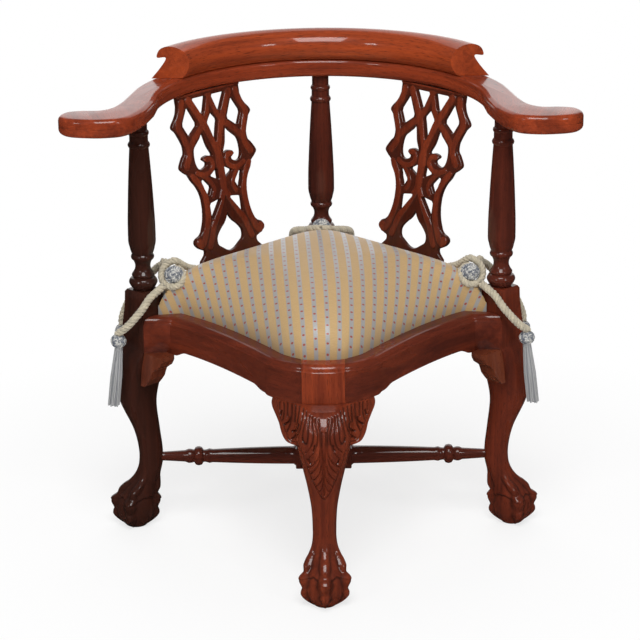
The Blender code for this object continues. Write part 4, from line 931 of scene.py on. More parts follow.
def claw_relief(angles, heights):
    """Claws with knuckles and talons, the web of skin over the ball, and painted shade beside the claws and
    just under the web.
    """
    lift, width = table_at(CLAW, heights[:, 0], 6)
    nearest = np.full(angles.shape, math.pi)
    for claw in CLAW_ANGLES:
        nearest = np.minimum(nearest, np.abs((angles - claw + math.pi) % (2 * math.pi) - math.pi))
    beside = nearest / width[:, None]
    raised = lift[:, None] * np.exp(-beside ** 3.2)
    web = 0.043 + 0.01 * np.clip(nearest / 0.7, 0, 1)
    skinned = 0.0022 * smooth_step(heights, web - 0.0012, web + 0.0012) * smooth_step(heights, ANKLE, 0.075)
    # Painted shade: a band beside each claw and a band just under the web's edge
    edge = 0.7 * np.exp(-((beside - 1.35) / 0.35) ** 2) * np.clip(lift[:, None] / 0.008, 0, 1)
    under = 0.8 * np.exp(-((heights - web + 0.0016) / 0.0018) ** 2) * smooth_step(beside, 1.0, 1.5)
    return raised + skinned, np.maximum(edge, under)


def foot_recess_shade(heights, angles):
    """Painted shade in the recesses of a foot, ring by ring."""
    angles = np.broadcast_to(angles, (len(heights), len(angles)))
    levels = np.broadcast_to(heights[:, None], angles.shape)
    return np.where(levels < ANKLE, claw_relief(angles, levels)[1], 0).ravel()


def leg_rings(knee, heights, angles):
    """Leg surface pointing along -Y, from the knee to the foot."""
    table = list(knee) + [(h, c + r, c - r, r, 2.0) for h, c, r in FOOT]
    outer, inner, half, roundness = (column[:, None] for column in table_at(table, heights))
    angles = np.broadcast_to(angles, (len(heights), len(angles)))
    centre = POST_REACH + (outer + inner) / 2
    reach = np.abs(np.cos(angles)) / ((outer - inner) / 2)
    width = np.abs(np.sin(angles)) / half
    radius = (reach ** roundness + width ** roundness) ** (-1 / roundness)
    levels = np.broadcast_to(heights[:, None], angles.shape)
    radius = radius + np.where(levels < ANKLE, claw_relief(angles, levels)[0], 0)
    return np.stack([radius * np.sin(angles), -centre - radius * np.cos(angles), levels], axis=-1)


def side_leg(name, turn, board):
    """Side or rear leg: square post standing on its corner, plain knee and claw foot."""
    heights = np.concatenate([np.linspace(RAIL_BOTTOM, ANKLE, 90), FOOT_LEVELS])
    angles = np.linspace(0, 2 * math.pi, LEG_SIDES, endpoint=False)
    rings = leg_rings(SIDE_KNEE, heights, angles)
    spread = np.abs(np.cos(angles)) ** SQUARENESS + np.abs(np.sin(angles)) ** SQUARENESS
    square = spread ** (-1 / SQUARENESS)
    post = []
    for height, half in POST:
        reach = half * square
        plan = np.stack([reach * np.sin(angles), -POST_REACH - reach * np.cos(angles)], axis=1)
        post.append(at_level(plan, height))
    rings = np.concatenate([np.array(post), rings])
    spin = np.array(((math.cos(turn), math.sin(turn), 0), (-math.sin(turn), math.cos(turn), 0), (0, 0, 1)))
    item = skin(name + ".piece", rings @ spin)
    # Painted shade in the recesses of the foot; none on the post
    mark(item, "painted_recess_shade", np.concatenate([np.zeros(len(post) * LEG_SIDES), foot_recess_shade(heights, angles)]))
    return wooden(item, upright_grain, board, name)


# Half of the carved leaf: sideways and downwards from the rail, in units of LEAF_SCALE
FLUTES = (
    ((72.4, -4.3), (72.7, 2.7), (72.1, 9.4)),
    ((64.9, -3.0), (64.9, 6.7), (65.7, 17.5), (67.3, 25.6)),
    ((59.0, -2.0), (59.2, 9.4), (59.5, 18.8)),
    ((51.8, -0.7), (52.2, 12.1), (53.8, 25.6), (56.5, 36.3), (60.6, 44.4)),
    ((45.8, 0.7), (46.4, 14.8), (47.4, 28.3)),
    ((39.3, 2.7), (41.0, 17.5), (43.7, 29.6)),
    ((32.3, 5.4), (35.0, 20.2), (37.7, 35.0), (43.1, 48.5), (52.5, 56.5)),
    ((27.6, 10.8), (29.6, 22.9), (32.3, 36.3), (35.0, 49.8)),
    ((22.2, 16.2), (24.2, 28.3), (25.6, 41.7), (26.2, 55.2), (28.3, 63.3)),
    ((18.2, 18.8), (18.6, 29.6), (17.5, 41.7), (17.5, 55.2), (21.5, 68.6), (29.6, 76.7)),
    ((13.5, 21.5), (13.5, 31.0), (11.0, 41.7), (10.0, 53.8), (13.5, 71.3), (21.5, 83.4), (27.6, 88.8)),
    ((8.1, 22.9), (7.5, 33.6), (5.9, 44.4), (6.2, 56.5), (5.1, 71.3), (8.1, 84.8), (17.5, 96.9),
     (24.2, 100.9)),
    ((3.2, 44.4), (3.5, 56.5), (3.0, 71.3), (1.9, 87.5), (1.3, 103.6), (1.2, 117.1), (0.9, 135.0),
     (0.0, 148.0)),
    ((6.7, 87.5), (9.4, 98.3), (16.2, 107.7), (22.2, 112.0)),
    ((3.8, 98.3), (6.1, 109.0), (12.1, 118.4), (18.8, 123.1)),
    ((2.4, 117.1), (6.0, 126.1), (13.2, 132.7)),
    ((1.2, 129.1), (3.3, 136.6), (8.4, 142.3)),
)
LEAF_EYES = (
    ((68.6, 10.1), (69.7, 13.5), (70.8, 17.0)),
    ((55.5, 21.3), (56.0, 25.6), (59.2, 29.6), (64.9, 33.1)),
    ((41.5, 30.3), (42.0, 36.3), (45.2, 41.5), (50.9, 43.7)),
    ((34.7, 53.3), (33.6, 59.0), (29.3, 63.3)),
    ((14.8, 65.9), (15.9, 71.3), (17.5, 74.0)),
    ((24.8, 87.5), (22.9, 93.1), (21.0, 95.0)),
)
LEAF_RIM = (
    (76.7, -14.0), (76.7, -4.0), (77.0, 1.3), (74.3, 14.8), (68.4, 28.3), (64.3, 39.0), (60.6, 49.8),
    (57.6, 56.5), (52.5, 60.8), (45.1, 60.6), (40.5, 67.3), (34.5, 78.1), (30.0, 91.5), (26.0, 103.6),
    (22.4, 113.0), (15.0, 130.6), (8.4, 144.7), (2.4, 152.6), (0.0, 155.0),
)
WING_EDGE = (
    (FRONT_RAIL_FLOOR, 0.0765), (0.2904, 0.078), (0.2832, 0.0768), (0.2761, 0.0735), (0.2689, 0.0702),
    (0.2618, 0.0672), (0.2547, 0.0655), (0.2475, 0.0634), (0.2404, 0.0598), (0.2361, 0.0556),
    (0.234, 0.0487), (0.2325, 0.0405),
)
WING_END = 0.2325
WING_CURL = 0.241
WING_SWELL = 0.006
WING_THICK = 0.026
WING_ROUND = 0.0035
LEAF_SCALE = 0.0009
LEAF_BACK = 0.222
LEAF_END = 0.13


def leaf_carving(spots):
    """Depth of the carved leaf under the knee's swelling, for places on the leg and its wings."""
    down = 0.945 * (FRONT_RAIL_FLOOR - spots[:, 2]) - 0.33 * (spots[:, 1] + FRONT_REACH)
    drawn = np.stack([np.abs(spots[:, 0]), down], axis=1) / LEAF_SCALE
    cut = incised(drawn, FLUTES, 1.35, 1.9)
    cut = np.maximum(cut, incised(drawn, LEAF_EYES, 1.5, 2.8))
    rim = smooth_line(LEAF_RIM, 4)
    cut = np.maximum(cut, incised(drawn, [LEAF_RIM], 0.9, 1.3))
    inside = np.interp(drawn[:, 1], rim[:, 1], rim[:, 0]) - drawn[:, 0]
    raised = 1.1 * smooth_step(inside, -0.6, 0.9) * smooth_step(drawn[:, 1], 64.0, 72.0)
    fade = smooth_step(-spots[:, 1], LEAF_BACK, 0.236)
    return (cut - raised) * fade / 1000


def crossings(direction, outer, inner, half, roundness):
    """Where rays from the bow's centre leave and enter the leg; a ray that misses gives zeros."""
    reach = np.linspace(0.045, 0.175, 521)
    x = reach * np.sin(direction)[:, None] / half
    y = reach * np.cos(direction)[:, None] - FRONT_BOW_CENTRE - POST_REACH - (outer + inner) / 2
    within = np.abs(x) ** roundness + np.abs(y / ((outer - inner) / 2)) ** roundness <= 1
    hit = within.any(axis=1)
    leaving = np.where(hit, reach[len(reach) - 1 - within[:, ::-1].argmax(axis=1)], 0)
    entering = np.where(hit, reach[within.argmax(axis=1)], 0)
    return leaving, entering


def softened(values, spread):
    """Running mean over neighbours with a bell of the given spread, in steps."""
    far = int(3 * spread) + 1
    bell = np.exp(-0.5 * (np.arange(-far, far + 1) / spread) ** 2)
    return np.convolve(np.pad(values, far, mode="edge"), bell / bell.sum(), mode="valid")


def wing_rings(front_count, back_count):
    """Knee and wings in one: rings from the rail down to the lower end of the wings."""
    heights = np.concatenate([np.linspace(FRONT_RAIL_FLOOR, WING_CURL, 78, endpoint=False),
                              np.linspace(WING_CURL, WING_END, 24)])
    sections = np.stack(table_at(FRONT_KNEE, heights), axis=1)
    edges = table_at(WING_EDGE, heights)[0]
    fan = np.radians(np.linspace(-62, 62, 497))
    rings = []
    for height, section, edge in zip(heights, sections, edges):
        drop = (FRONT_RAIL_FLOOR - height) / (FRONT_RAIL_FLOOR - WING_END)
        wing = BOW_RADIUS + WING_SWELL * drop
        leaving, entering = crossings(fan, *section)
        front = softened(np.maximum(leaving, wing), 16 * (1 - drop) + 3)
        back = softened(np.where(entering > 0, np.minimum(entering, wing - WING_THICK), wing - WING_THICK), 6)
        limit = math.asin(edge / wing)
        turn = np.linspace(-limit, limit, front_count)
        reach = np.interp(turn, fan, front)
        margin = np.clip(1 - (limit - np.abs(turn)) * wing / WING_ROUND, 0, 1)
        reach = reach - WING_ROUND * (1 - np.sqrt(1 - margin ** 2))
        behind = np.linspace(limit, -limit, back_count + 2)[1:-1]
        turn = np.concatenate([turn, behind])
        reach = np.concatenate([reach, np.interp(behind, fan, back)])
        plan = np.stack([reach * np.sin(turn), FRONT_BOW_CENTRE - reach * np.cos(turn)], axis=1)
        rings.append(at_level(plan, height))
    return np.array(rings)


def front_leg():
    """Front leg: bowed corner block, carved knee with its wings, and claw foot."""
    across = np.linspace(-FRONT_POST_HALF, FRONT_POST_HALF, 21)
    bow = FRONT_BOW_CENTRE - np.sqrt(BOW_RADIUS ** 2 - across * across)
    block = [rail_ring(spot, (0, 1), FRONT_RAIL_FLOOR) for spot in zip(across, bow)]
    item = skin("front_corner_post", block)
    wooden(item, upright_grain, LIGHT_BOARD)
    front_count, back_count = 261, 99
    angles = np.concatenate([np.linspace(-math.pi / 2, math.pi / 2, front_count),
                             np.linspace(math.pi / 2, 1.5 * math.pi, back_count + 2)[1:-1]])
    heights = np.concatenate([np.linspace(WING_END - 0.0006, ANKLE, 180), FOOT_LEVELS])
    rings = np.concatenate([wing_rings(front_count, back_count), leg_rings(FRONT_KNEE, heights, angles)])
    spots = rings.reshape(-1, 3)
    level = (spots[:, 2] > LEAF_END) & (spots[:, 2] < FRONT_RAIL_FLOOR - 0.0004)
    carved = np.flatnonzero((spots[:, 1] < -LEAF_BACK) & level)
    outward = spots[carved, :2] - (0, FRONT_BOW_CENTRE)
    outward /= np.linalg.norm(outward, axis=1)[:, None]
    depth = leaf_carving(spots[carved])
    spots[carved, :2] -= outward * depth[:, None]
    # Painted shade in the carved leaf, darker where the cut is deeper, and in the foot's recesses
    painted_recess_shade = np.zeros(len(spots))
    painted_recess_shade[carved] = np.clip(depth / 0.0024, 0, 0.8)
    painted_recess_shade[-len(FOOT_LEVELS) * len(angles):] = foot_recess_shade(FOOT_LEVELS, angles)
    item = skin("front_leg.piece", spots.reshape(rings.shape))
    mark(item, "painted_recess_shade", painted_recess_shade)
    return wooden(item, upright_grain, CARVED_BOARD,
                  "front_leg", "front_leg_bracket_left", "front_leg_bracket_right")


# Turned work: place along the axis, radius, bulge of the stretch before it

COLUMN = (
    (0.3953, 0.014, 0), (0.3985, 0.0172, 0.001), (0.403, 0.0205, 0.0006), (0.411, 0.0208, 0.0014),
    (0.4142, 0.0172, 0.0006), (0.415, 0.016, 0), (0.4215, 0.016, 0.0014), (0.4235, 0.0146, 0),
    (0.433, 0.0118, -0.0008), (0.442, 0.0146, -0.0006), (0.444, 0.0168, 0), (0.4505, 0.017, 0.001),
    (0.452, 0.016, 0), (0.4633, 0.0194, 0.0004), (0.4773, 0.0212, 0.0007), (0.4893, 0.0212, 0.0001),
    (0.5203, 0.0203, 0.0002), (0.6203, 0.0147, 0.0004), (0.621, 0.0156, 0), (0.6285, 0.0156, 0.0014),
    (0.63, 0.0143, 0), (0.6395, 0.0142, 0), (0.6403, 0.0149, 0), (0.6465, 0.0149, 0.001),
    (0.6475, 0.0134, 0), (0.6657, 0.0134, 0),
)
STRETCHER = (
    (0.044, 0.017, 0), (0.0475, 0.0142, 0), (0.175, 0.0105, 0.0006), (0.181, 0.0116, 0),
    (0.19, 0.0098, -0.0006), (0.1925, 0.0138, 0), (0.2025, 0.0138, 0.0014), (0.205, 0.0098, 0),
    (0.214, 0.0112, 0.0006), (0.219, 0.0092, 0), (0.252, 0.0072, 0), (0.262, 0.007, 0),
)


def make_columns():
    profile = arcs(COLUMN, 8)
    for name, place in (("left", (-POST_REACH, 0)), ("right", (POST_REACH, 0)), ("rear", (0, POST_REACH))):
        item = skin(name + "_column.piece", lathe_rings(profile, 64) + np.array((*place, 0)))
        wooden(item, upright_grain, LEFT_COLUMN_BOARD if name == "left" else DARK_BOARD, name + "_column")


# The long stretcher is a hair thinner in height, so that its faces don't coincide with the other's
LAP_SHARE = 0.985
STRETCHER_LEVEL = 0.115


def make_stretchers():
    half = arcs(STRETCHER, 8)
    for name, way in (("cross_stretcher", 0), ("long_stretcher", 1)):
        bodies = []
        for side in (-1, 1):
            rod = lathe_rings([(0.041, 0.0125)] + half, 40)
            rod = rod[..., [2, 0, 1]] * np.array((side, 1, 1))
            bodies.append(rod)
        square = []
        for reach, size in ((-0.044, 0.0158), (-0.0428, 0.017), (0.0428, 0.017), (0.044, 0.0158)):
            square.append([(reach, a * size, b * size) for a, b in ((-1, -1), (1, -1), (1, 1), (-1, 1))])
        bodies.append(square)
        item = skin(name + ".piece", *[np.asarray(body) * (1, 1, LAP_SHARE if way else 1) for body in bodies])
        spots = places(item.data)
        if way:
            spots = spots[:, [1, 0, 2]]
        spots[:, 2] += STRETCHER_LEVEL
        set_places(item.data, spots)
        if way:
            item.data.flip_normals()
        wooden(item, level_grain((1 - way, way)), DARK_BOARD, name)


# Arm rail and crest

HAND_REST = (
    (0.3, -0.006), (0.312, -0.042), (0.329, -0.059), (0.355, -0.06), (0.378, -0.068), (0.387, -0.09),
    (0.376, -0.112), (0.352, -0.122), (0.3165, -0.124), (0.284, -0.11), (0.262, -0.06), (0.25, -0.005),
)
CREST_SECTION = (
    (0.001, 0.0), (-0.004, 0.006), (-0.0075, 0.014), (-0.009, 0.023), (-0.007, 0.033), (-0.001, 0.0425),
    (0.0095, 0.049), (0.0205, 0.0505), (0.03, 0.0465), (0.0344, 0.0385), (0.0338, 0.0328), (0.024, 0.0335),
    (0.0232, 0.029), (0.031, 0.016), (0.043, 0.0),
)


def inset(outline, distance):
    """Move a closed outline inwards by an even distance."""
    ahead = np.roll(outline, -1, axis=0) - outline
    ahead /= np.linalg.norm(ahead, axis=1)[:, None]
    behind = np.roll(ahead, 1, axis=0)
    squares = [np.stack([-way[:, 1], way[:, 0]], axis=1) for way in (behind, ahead)]
    square = (squares[0] + squares[1]) / (1 + (squares[0] * squares[1]).sum(axis=1))[:, None]
    after = np.roll(outline, -1, axis=0)
    turn = np.sign((outline[:, 0] * after[:, 1] - after[:, 0] * outline[:, 1]).sum())
    return outline + turn * square * distance


def arm_outline(end, cut):
    """Plan of the right arm, taken in by a cut all round except at the lap."""
    outer = np.linspace(end, math.radians(14), 60)
    inner = np.linspace(math.radians(9), end, 60)
    hand = smooth_line(HAND_REST, 10)
    arcs_of = [np.stack([np.cos(angles), np.sin(angles)], axis=1) for angles in (outer, inner)]
    outline = np.vstack([arcs_of[0] * ARM_OUTER, hand, arcs_of[1] * ARM_INNER])
    taken_in = inset(outline, cut)[60:60 + len(hand)]
    return np.vstack([arcs_of[0] * (ARM_OUTER - cut), taken_in, arcs_of[1] * (ARM_INNER + cut)])


def arm_layers(low, high, end, round_low, round_high):
    """Stack of arm outlines between two heights, ending at an angle past the back."""
    corner = [(0.008 * (1 - math.sin(a)), 0.008 * (1 - math.cos(a))) for a in np.linspace(0, math.pi / 2, 8)]
    levels = [(cut, low + rise) for cut, rise in corner] if round_low else [(0, low)]
    levels += [(cut, high - rise) for cut, rise in corner[::-1]] if round_high else [(0, high)]
    rings = []
    for cut, level in levels:
        outline = arm_outline(end, cut)
        rings.append(at_level(outline, level))
    return np.array(rings)


def make_arms():
    lap = math.asin(0.03 / 0.272)
    middle = (ARM_BOTTOM + ARM_TOP) / 2
    for word, side in (("left", -1), ("right", 1)):
        upper = math.pi / 2 + lap * side
        lower = math.pi / 2 - lap * side
        low = arm_layers(ARM_BOTTOM, middle - 0.0001, lower, True, False)
        high = arm_layers(middle + 0.0001, ARM_TOP, upper, False, True)
        flip = np.array((side, 1, 1))
        item = skin(word + "_arm.piece", low * flip, high * flip)
        wooden(item, arc_grain, ARM_BOARD, word + "_arm")


def make_crest():
    section = smooth_line(CREST_SECTION, 4)
    reach = ARM_INNER + section[:, 0]
    start = np.arcsin(0.13 / reach)
    rings = []
    for share in np.linspace(0, 1, 97):
        angle = start + (math.pi - 2 * start) * share
        rise = section[:, 1] * (1 - 0.07 * math.sin(math.pi * share))
        rings.append(np.stack([reach * np.cos(angle), reach * np.sin(angle), ARM_TOP + GLUE + rise], axis=1))
    item = skin("crest.piece", rings)
    wooden(item, arc_grain, CREST_BOARD, "crest")


# Pierced splats

# Half outlines: sideways, and height above the shoe
SPLAT_THICK = 0.011
SHOE_HEIGHT = 0.026
SPLAT_FOOT_OFFSET = 0.0015
SPLAT_LEAN = (ARM_INNER + 0.006 - POST_LINE - SPLAT_FOOT_OFFSET) / (ARM_BOTTOM - RAIL_TOP)
SPLAT_TOP = ARM_BOTTOM - RAIL_TOP - SHOE_HEIGHT - GLUE
SPLAT_BASE_HALF = 0.07
SPLAT_SPOON = 0.0045
SPLAT_EDGE = (
    (0.067, 0.265), (0.072, 0.252), (0.084, 0.2365), (0.077, 0.2265), (0.0685, 0.209), (0.068, 0.194),
    (0.074, 0.1865), (0.082, 0.173), (0.076, 0.165), (0.067, 0.158), (0.061, 0.1465), (0.054, 0.138),
    (0.0485, 0.124), (0.0475, 0.104), (0.049, 0.089), (0.054, 0.074), (0.062, 0.064), (0.0705, 0.06),
    (0.0745, 0.053), (0.0705, 0.0455), (0.062, 0.0405), (0.0565, 0.038), (0.057, 0.031), (0.066, 0.022),
)
SPLAT_HOLES = (
    ((0.0473, 0.264), (0.0311, 0.232), (0.052, 0.2165), (0.063, 0.237)),
    ((0.0358, 0.2735), (0.0048, 0.2735), (0.0142, 0.2485), (0.0208, 0.247)),
    ((0.0073, 0.161), (0.0072, 0.142), (0.024, 0.151)),
    ((0.038, 0.148), (0.0255, 0.1335), (0.0335, 0.12), (0.041, 0.134), (0.0435, 0.147)),
    ((0.0076, 0.1135), (0.0335, 0.081), (0.034, 0.109)),
)
SPLAT_SCROLL_HOLE = (
    (0.025, 0.2175), (0.019, 0.196), (0.012, 0.181), (0.0225, 0.1825), (0.0315, 0.1805), (0.0325, 0.1765),
    (0.0272, 0.172), (0.0285, 0.167), (0.0375, 0.1635), (0.0445, 0.166), (0.0485, 0.174), (0.0493, 0.185),
    (0.047, 0.197), (0.04, 0.204), (0.032, 0.211),
)
SPLAT_DIAMOND = ((0.0, 0.2465), (0.0115, 0.2325), (0.0, 0.197))
SPLAT_KEYHOLE = (
    (0.0, 0.0885), (0.004, 0.08), (0.01, 0.0725), (0.015, 0.0685), (0.023, 0.0605), (0.0275, 0.0525),
    (0.0265, 0.0425), (0.019, 0.0365), (0.008, 0.0295), (0.0, 0.0275),
)
# Straps that lie over the board: half width, height, centre line
SPLAT_STRAPS = (
    (0.0055, 0.0009, ((0.002, 0.272), (0.01, 0.246), (0.02, 0.231), (0.033, 0.221), (0.046, 0.21),
                      (0.055, 0.2))),
    (0.006, 0.0012, ((0.058, 0.272), (0.062, 0.256), (0.072, 0.237), (0.066, 0.218), (0.059, 0.202),
                      (0.06, 0.188), (0.069, 0.174))),
    (0.004, 0.001, ((0.042, 0.156), (0.031, 0.148), (0.023, 0.138), (0.02, 0.128), (0.025, 0.119))),
    (0.0058, 0.0017, ((0.064, 0.048), (0.058, 0.052), (0.051, 0.066), (0.044, 0.084), (0.041, 0.104),
                      (0.042, 0.122), (0.047, 0.136), (0.054, 0.148), (0.061, 0.156))),
    (0.0056, 0.0014, ((0.0, 0.128), (0.012, 0.105), (0.024, 0.086), (0.033, 0.072), (0.039, 0.057),
                      (0.045, 0.043))),
    (0.0042, 0.0017, ((0.05, 0.16), (0.042, 0.1565), (0.033, 0.155), (0.024, 0.157), (0.0165, 0.163),
                      (0.015, 0.17), (0.0185, 0.176), (0.025, 0.1775), (0.029, 0.1755))),
)
SPLAT_CROSSING = ((0.043, 0.272), (0.032, 0.2545), (0.019, 0.231), (0.009, 0.209), (0.0, 0.183),
                  (-0.002, 0.15), (0.0, 0.128))
CROSSING_HALF = 0.0064
CROSSING_RISES = ((1, 0.0013), (-1, 0.0018))
SPLAT_LOBE = (0.0665, 0.0525)


def cut_corners(outline, share=0.1):
    """Take the sharpness off the corners of a closed outline."""
    after = np.roll(outline, -1, axis=0)
    pairs = [outline * (1 - share) + after * share, outline * share + after * (1 - share)]
    return np.stack(pairs, axis=1).reshape(-1, 2)


def splat_outlines():
    edge = smooth_line(SPLAT_EDGE, 6)
    right = [(0, SPLAT_TOP), (SPLAT_EDGE[0][0], SPLAT_TOP), *map(tuple, edge),
             (SPLAT_BASE_HALF, 2 * GLUE), (0, 2 * GLUE)]
    lines = [both_halves(right)]
    for hole in SPLAT_HOLES:
        hole = cut_corners(np.array(hole))
        lines += [hole, hole * (-1, 1)]
    scroll = smooth_line(SPLAT_SCROLL_HOLE, 4, closed=True)
    lines += [scroll, scroll * (-1, 1)]
    return lines + [cut_corners(both_halves(SPLAT_DIAMOND)), both_halves(smooth_line(SPLAT_KEYHOLE, 5))]


def flat_tracery():
    """Pierced board lying in the XY plane: a sunk ground with rounded edges, and raised straps over it."""
    curve = bpy.data.curves.new("tracery", "CURVE")
    curve.dimensions = "2D"
    curve.fill_mode = "BOTH"
    curve.extrude = SPLAT_THICK / 2
    outlines = splat_outlines()
    for outline in outlines:
        spline = curve.splines.new("POLY")
        spline.points.add(len(outline) - 1)
        flat = np.column_stack([outline, np.zeros(len(outline)), np.ones(len(outline))])
        spline.points.foreach_set("co", flat.ravel())
        spline.use_cyclic_u = True
    item = in_scene("tracery", curve)
    board = in_scene("board", as_mesh(item))
    bpy.data.objects.remove(item)
    even = board.modifiers.new("even_faces", "REMESH")
    even.mode = "VOXEL"
    even.voxel_size = 0.0008
    mesh = as_mesh(board)
    bpy.data.objects.remove(board)
    spots = places(mesh)
    apart = np.full(len(spots), np.inf)
    for outline in outlines:
        apart = np.minimum(apart, off_line(spots[:, :2], np.vstack([outline, outline[:1]])))
    raised = np.zeros(len(spots))
    straps = [(half, height, np.array(line) * (side, 1)) for half, height, line in SPLAT_STRAPS
              for side in (1, -1)]
    straps += [(CROSSING_HALF, height, np.array(SPLAT_CROSSING) * (side, 1))
               for side, height in CROSSING_RISES]
    for half, height, line in straps:
        past = off_line(spots[:, :2], smooth_line(line, 4))
        strap = height * smooth_step(past, half + 0.0004, half - 0.0008)
        raised = np.maximum(raised, strap - 0.0003 * np.clip(past / half, 0, 1) ** 2)
    for side in (1, -1):
        past = np.hypot(spots[:, 0] - side * SPLAT_LOBE[0], spots[:, 1] - SPLAT_LOBE[1])
        raised = np.maximum(raised, 0.0019 * smooth_step(past, 0.0078, 0.0062))
    sunk = 0.0019 - raised + 0.0009 * np.clip(1 - apart / 0.0012, 0, 1) ** 2
    fade = smooth_step(spots[:, 1], 0.004, 0.01)
    fade = fade * smooth_step(spots[:, 1], SPLAT_TOP - 0.001, SPLAT_TOP - 0.005)
    spots[:, 2] *= 1 - sunk * fade / (SPLAT_THICK / 2)
    set_places(mesh, spots)
    return mesh


def make_splats():
    flat = flat_tracery()
    for word, side in (("left", -1), ("right", 1)):
        item = in_scene(word + "_splat.piece", flat.copy())
        across, rise, depth = places(item.data).T
        spoon = -SPLAT_SPOON * np.sin(math.pi * np.clip(rise / SPLAT_TOP, 0, 1) ** 0.7) ** 2
        offset = POST_LINE + SPLAT_FOOT_OFFSET + SPLAT_LEAN * (rise + SHOE_HEIGHT) + depth + spoon
        x = side * DIAGONAL * (offset - across)
        y = DIAGONAL * (offset + across)
        set_places(item.data, np.column_stack([x, y, RAIL_TOP + SHOE_HEIGHT + rise]))
        face = SPLAT_THICK / 2
        # Painted shade on the surface below the faces: the sunk ground between the straps and the pierced
        # edges
        mark(item, "painted_recess_shade", 0.75 * smooth_step(np.abs(depth), face - 0.0006, face - 0.0022))
        if side < 0:
            item.data.flip_normals()
        item.data.materials.clear()
        item.data.shade_smooth()
        wooden(item, upright_grain, SPLAT_BOARD, word + "_splat")


# Pieces that keep the construction's shape

BRACKET_LIFT = 0.004
BRACKET_STRETCH = 1.12


def lowered_brackets():
    """Knee brackets of the side legs, under the deeper front rails."""
    for word in ("left", "right"):
        name = word + "_leg_bracket_front"
        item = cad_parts[name].copy()
        item.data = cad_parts[name].data.copy()
        item.name = name + ".piece"
        bpy.context.scene.collection.objects.link(item)
        spots = places(item.data)
        spots[:, 2] = FRONT_RAIL_FLOOR + BRACKET_LIFT - BRACKET_STRETCH * (spots[:, 2].max() - spots[:, 2])
        set_places(item.data, spots)
        item.data.materials.clear()
        fitted(item, FRAME_BODY, "mahogany", BRACKET_BOARD, name)
        soft_edges(item)


def soft_edges(item):
    bevel = item.modifiers.new("softened_edges", "BEVEL")
    bevel.width = 0.0008
    bevel.segments = 2
    bevel.limit_method = "ANGLE"


def finish_plain_nodes():
    for name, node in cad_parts.items():
        if "bracket" in name or name.endswith("shoe"):
            paint = BRACKET_BOARD
        elif name.startswith("seat_frame"):
            paint = BEECH
        elif name.endswith("corner_block") or name.startswith(("rear_left_rail", "rear_right_rail")):
            paint = HIDDEN_BOARD
        else:
            continue
        node.data.materials.clear()
        node.data.materials.append(paint)
        soft_edges(node)


# Studio

LAMPS = (
    ("overhead", (0.0, -1.8, 2.9), 1.5, 72), ("front_left", (-2.3, -2.7, 2.2), 0.6, 14),
    ("front_right", (2.3, -2.7, 2.2), 0.6, 14), ("backdrop", (0.0, 2.4, 1.3), 3.4, 44),
)
LAMP_TARGET = (0, 0, 0.35)


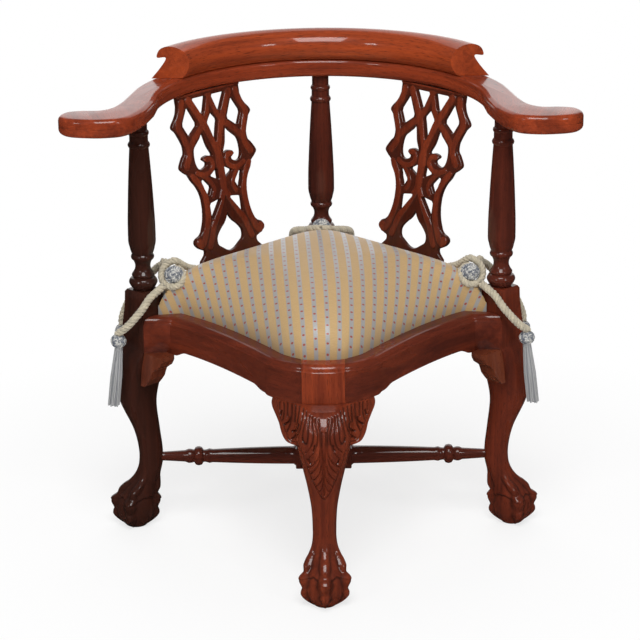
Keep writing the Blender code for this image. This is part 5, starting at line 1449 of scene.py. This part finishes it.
def set_studio():
    bpy.ops.mesh.primitive_plane_add(size=30, location=(0, 0, 0))
    floor = bpy.context.object
    floor.name = "studio_floor"
    paint, tree, shader = new_material("studio_floor")
    shader.inputs["Base Color"].default_value = (0.95, 0.95, 0.95, 1)
    shader.inputs["Roughness"].default_value = 1.0
    shader.inputs["Specular IOR Level"].default_value = 0.0
    dim = tree.nodes.new("ShaderNodeBsdfDiffuse")
    dim.inputs["Color"].default_value = (0.04, 0.035, 0.03, 1)
    seen_by = tree.nodes.new("ShaderNodeLightPath")
    choice = tree.nodes.new("ShaderNodeMixShader")
    tree.links.new(seen_by.outputs["Is Glossy Ray"], choice.inputs["Fac"])
    tree.links.new(shader.outputs["BSDF"], choice.inputs[1])
    tree.links.new(dim.outputs["BSDF"], choice.inputs[2])
    spots = tree.nodes.new("ShaderNodeTexCoord").outputs["Object"]
    far = tree.nodes.new("ShaderNodeVectorMath")
    far.operation = "LENGTH"
    tree.links.new(spots, far.inputs[0])
    white = tree.nodes.new("ShaderNodeEmission")
    sweep = tree.nodes.new("ShaderNodeMixShader")
    paler = span(tree, far.outputs["Value"], 0.3, 0.9, 0.72, 1.0)
    onward = calc(tree, "MULTIPLY", paler, seen_by.outputs["Is Camera Ray"])
    tree.links.new(onward, sweep.inputs["Fac"])
    tree.links.new(choice.outputs["Shader"], sweep.inputs[1])
    tree.links.new(white.outputs["Emission"], sweep.inputs[2])
    tree.links.new(sweep.outputs["Shader"], tree.nodes["Material Output"].inputs["Surface"])
    floor.data.materials.append(paint)
    world = bpy.data.worlds.new("studio")
    bpy.context.scene.world = world
    world.use_nodes = True
    tree = world.node_tree
    fill = tree.nodes["Background"]
    fill.inputs["Color"].default_value = (1, 1, 1, 1)
    fill.inputs["Strength"].default_value = 0.24
    seen_by = tree.nodes.new("ShaderNodeLightPath")
    for ray, strength in (("Is Glossy Ray", 0.08), ("Is Camera Ray", 1.0)):
        other = tree.nodes.new("ShaderNodeBackground")
        other.inputs["Color"].default_value = (1, 1, 1, 1)
        other.inputs["Strength"].default_value = strength
        choice = tree.nodes.new("ShaderNodeMixShader")
        tree.links.new(seen_by.outputs[ray], choice.inputs["Fac"])
        tree.links.new(fill.outputs[0], choice.inputs[1])
        tree.links.new(other.outputs["Background"], choice.inputs[2])
        fill = choice
    tree.links.new(fill.outputs["Shader"], tree.nodes["World Output"].inputs["Surface"])
    for name, place, size, power in LAMPS:
        lamp = bpy.data.lights.new(name, "AREA")
        lamp.size = size
        lamp.energy = power
        light = in_scene(name, lamp)
        light.location = place
        light.rotation_mode = "QUATERNION"
        light.rotation_quaternion = (Vector(LAMP_TARGET) - Vector(place)).to_track_quat("-Z", "Y")
        light.visible_camera = False
    bpy.context.scene.view_settings.view_transform = "Standard"


def main():
    set_camera()
    for name, side in (("right_tie", 1), ("left_tie", -1)):
        make_tie(name, *TIES["right_tie"], side, SIDE_TILT, SIDE_TAIL)
    make_tie("rear_tie", *TIES["rear_tie"], 1)
    make_cushion()
    make_underside()
    front_leg()
    side_leg("left_leg", math.radians(-90), DARK_LEG_BOARD)
    side_leg("right_leg", math.radians(90), LEG_BOARD)
    side_leg("rear_leg", math.pi, LEG_BOARD)
    front_rail(-1)
    front_rail(1)
    make_columns()
    make_stretchers()
    make_arms()
    make_crest()
    make_splats()
    lowered_brackets()
    finish_plain_nodes()
    set_studio()


main()
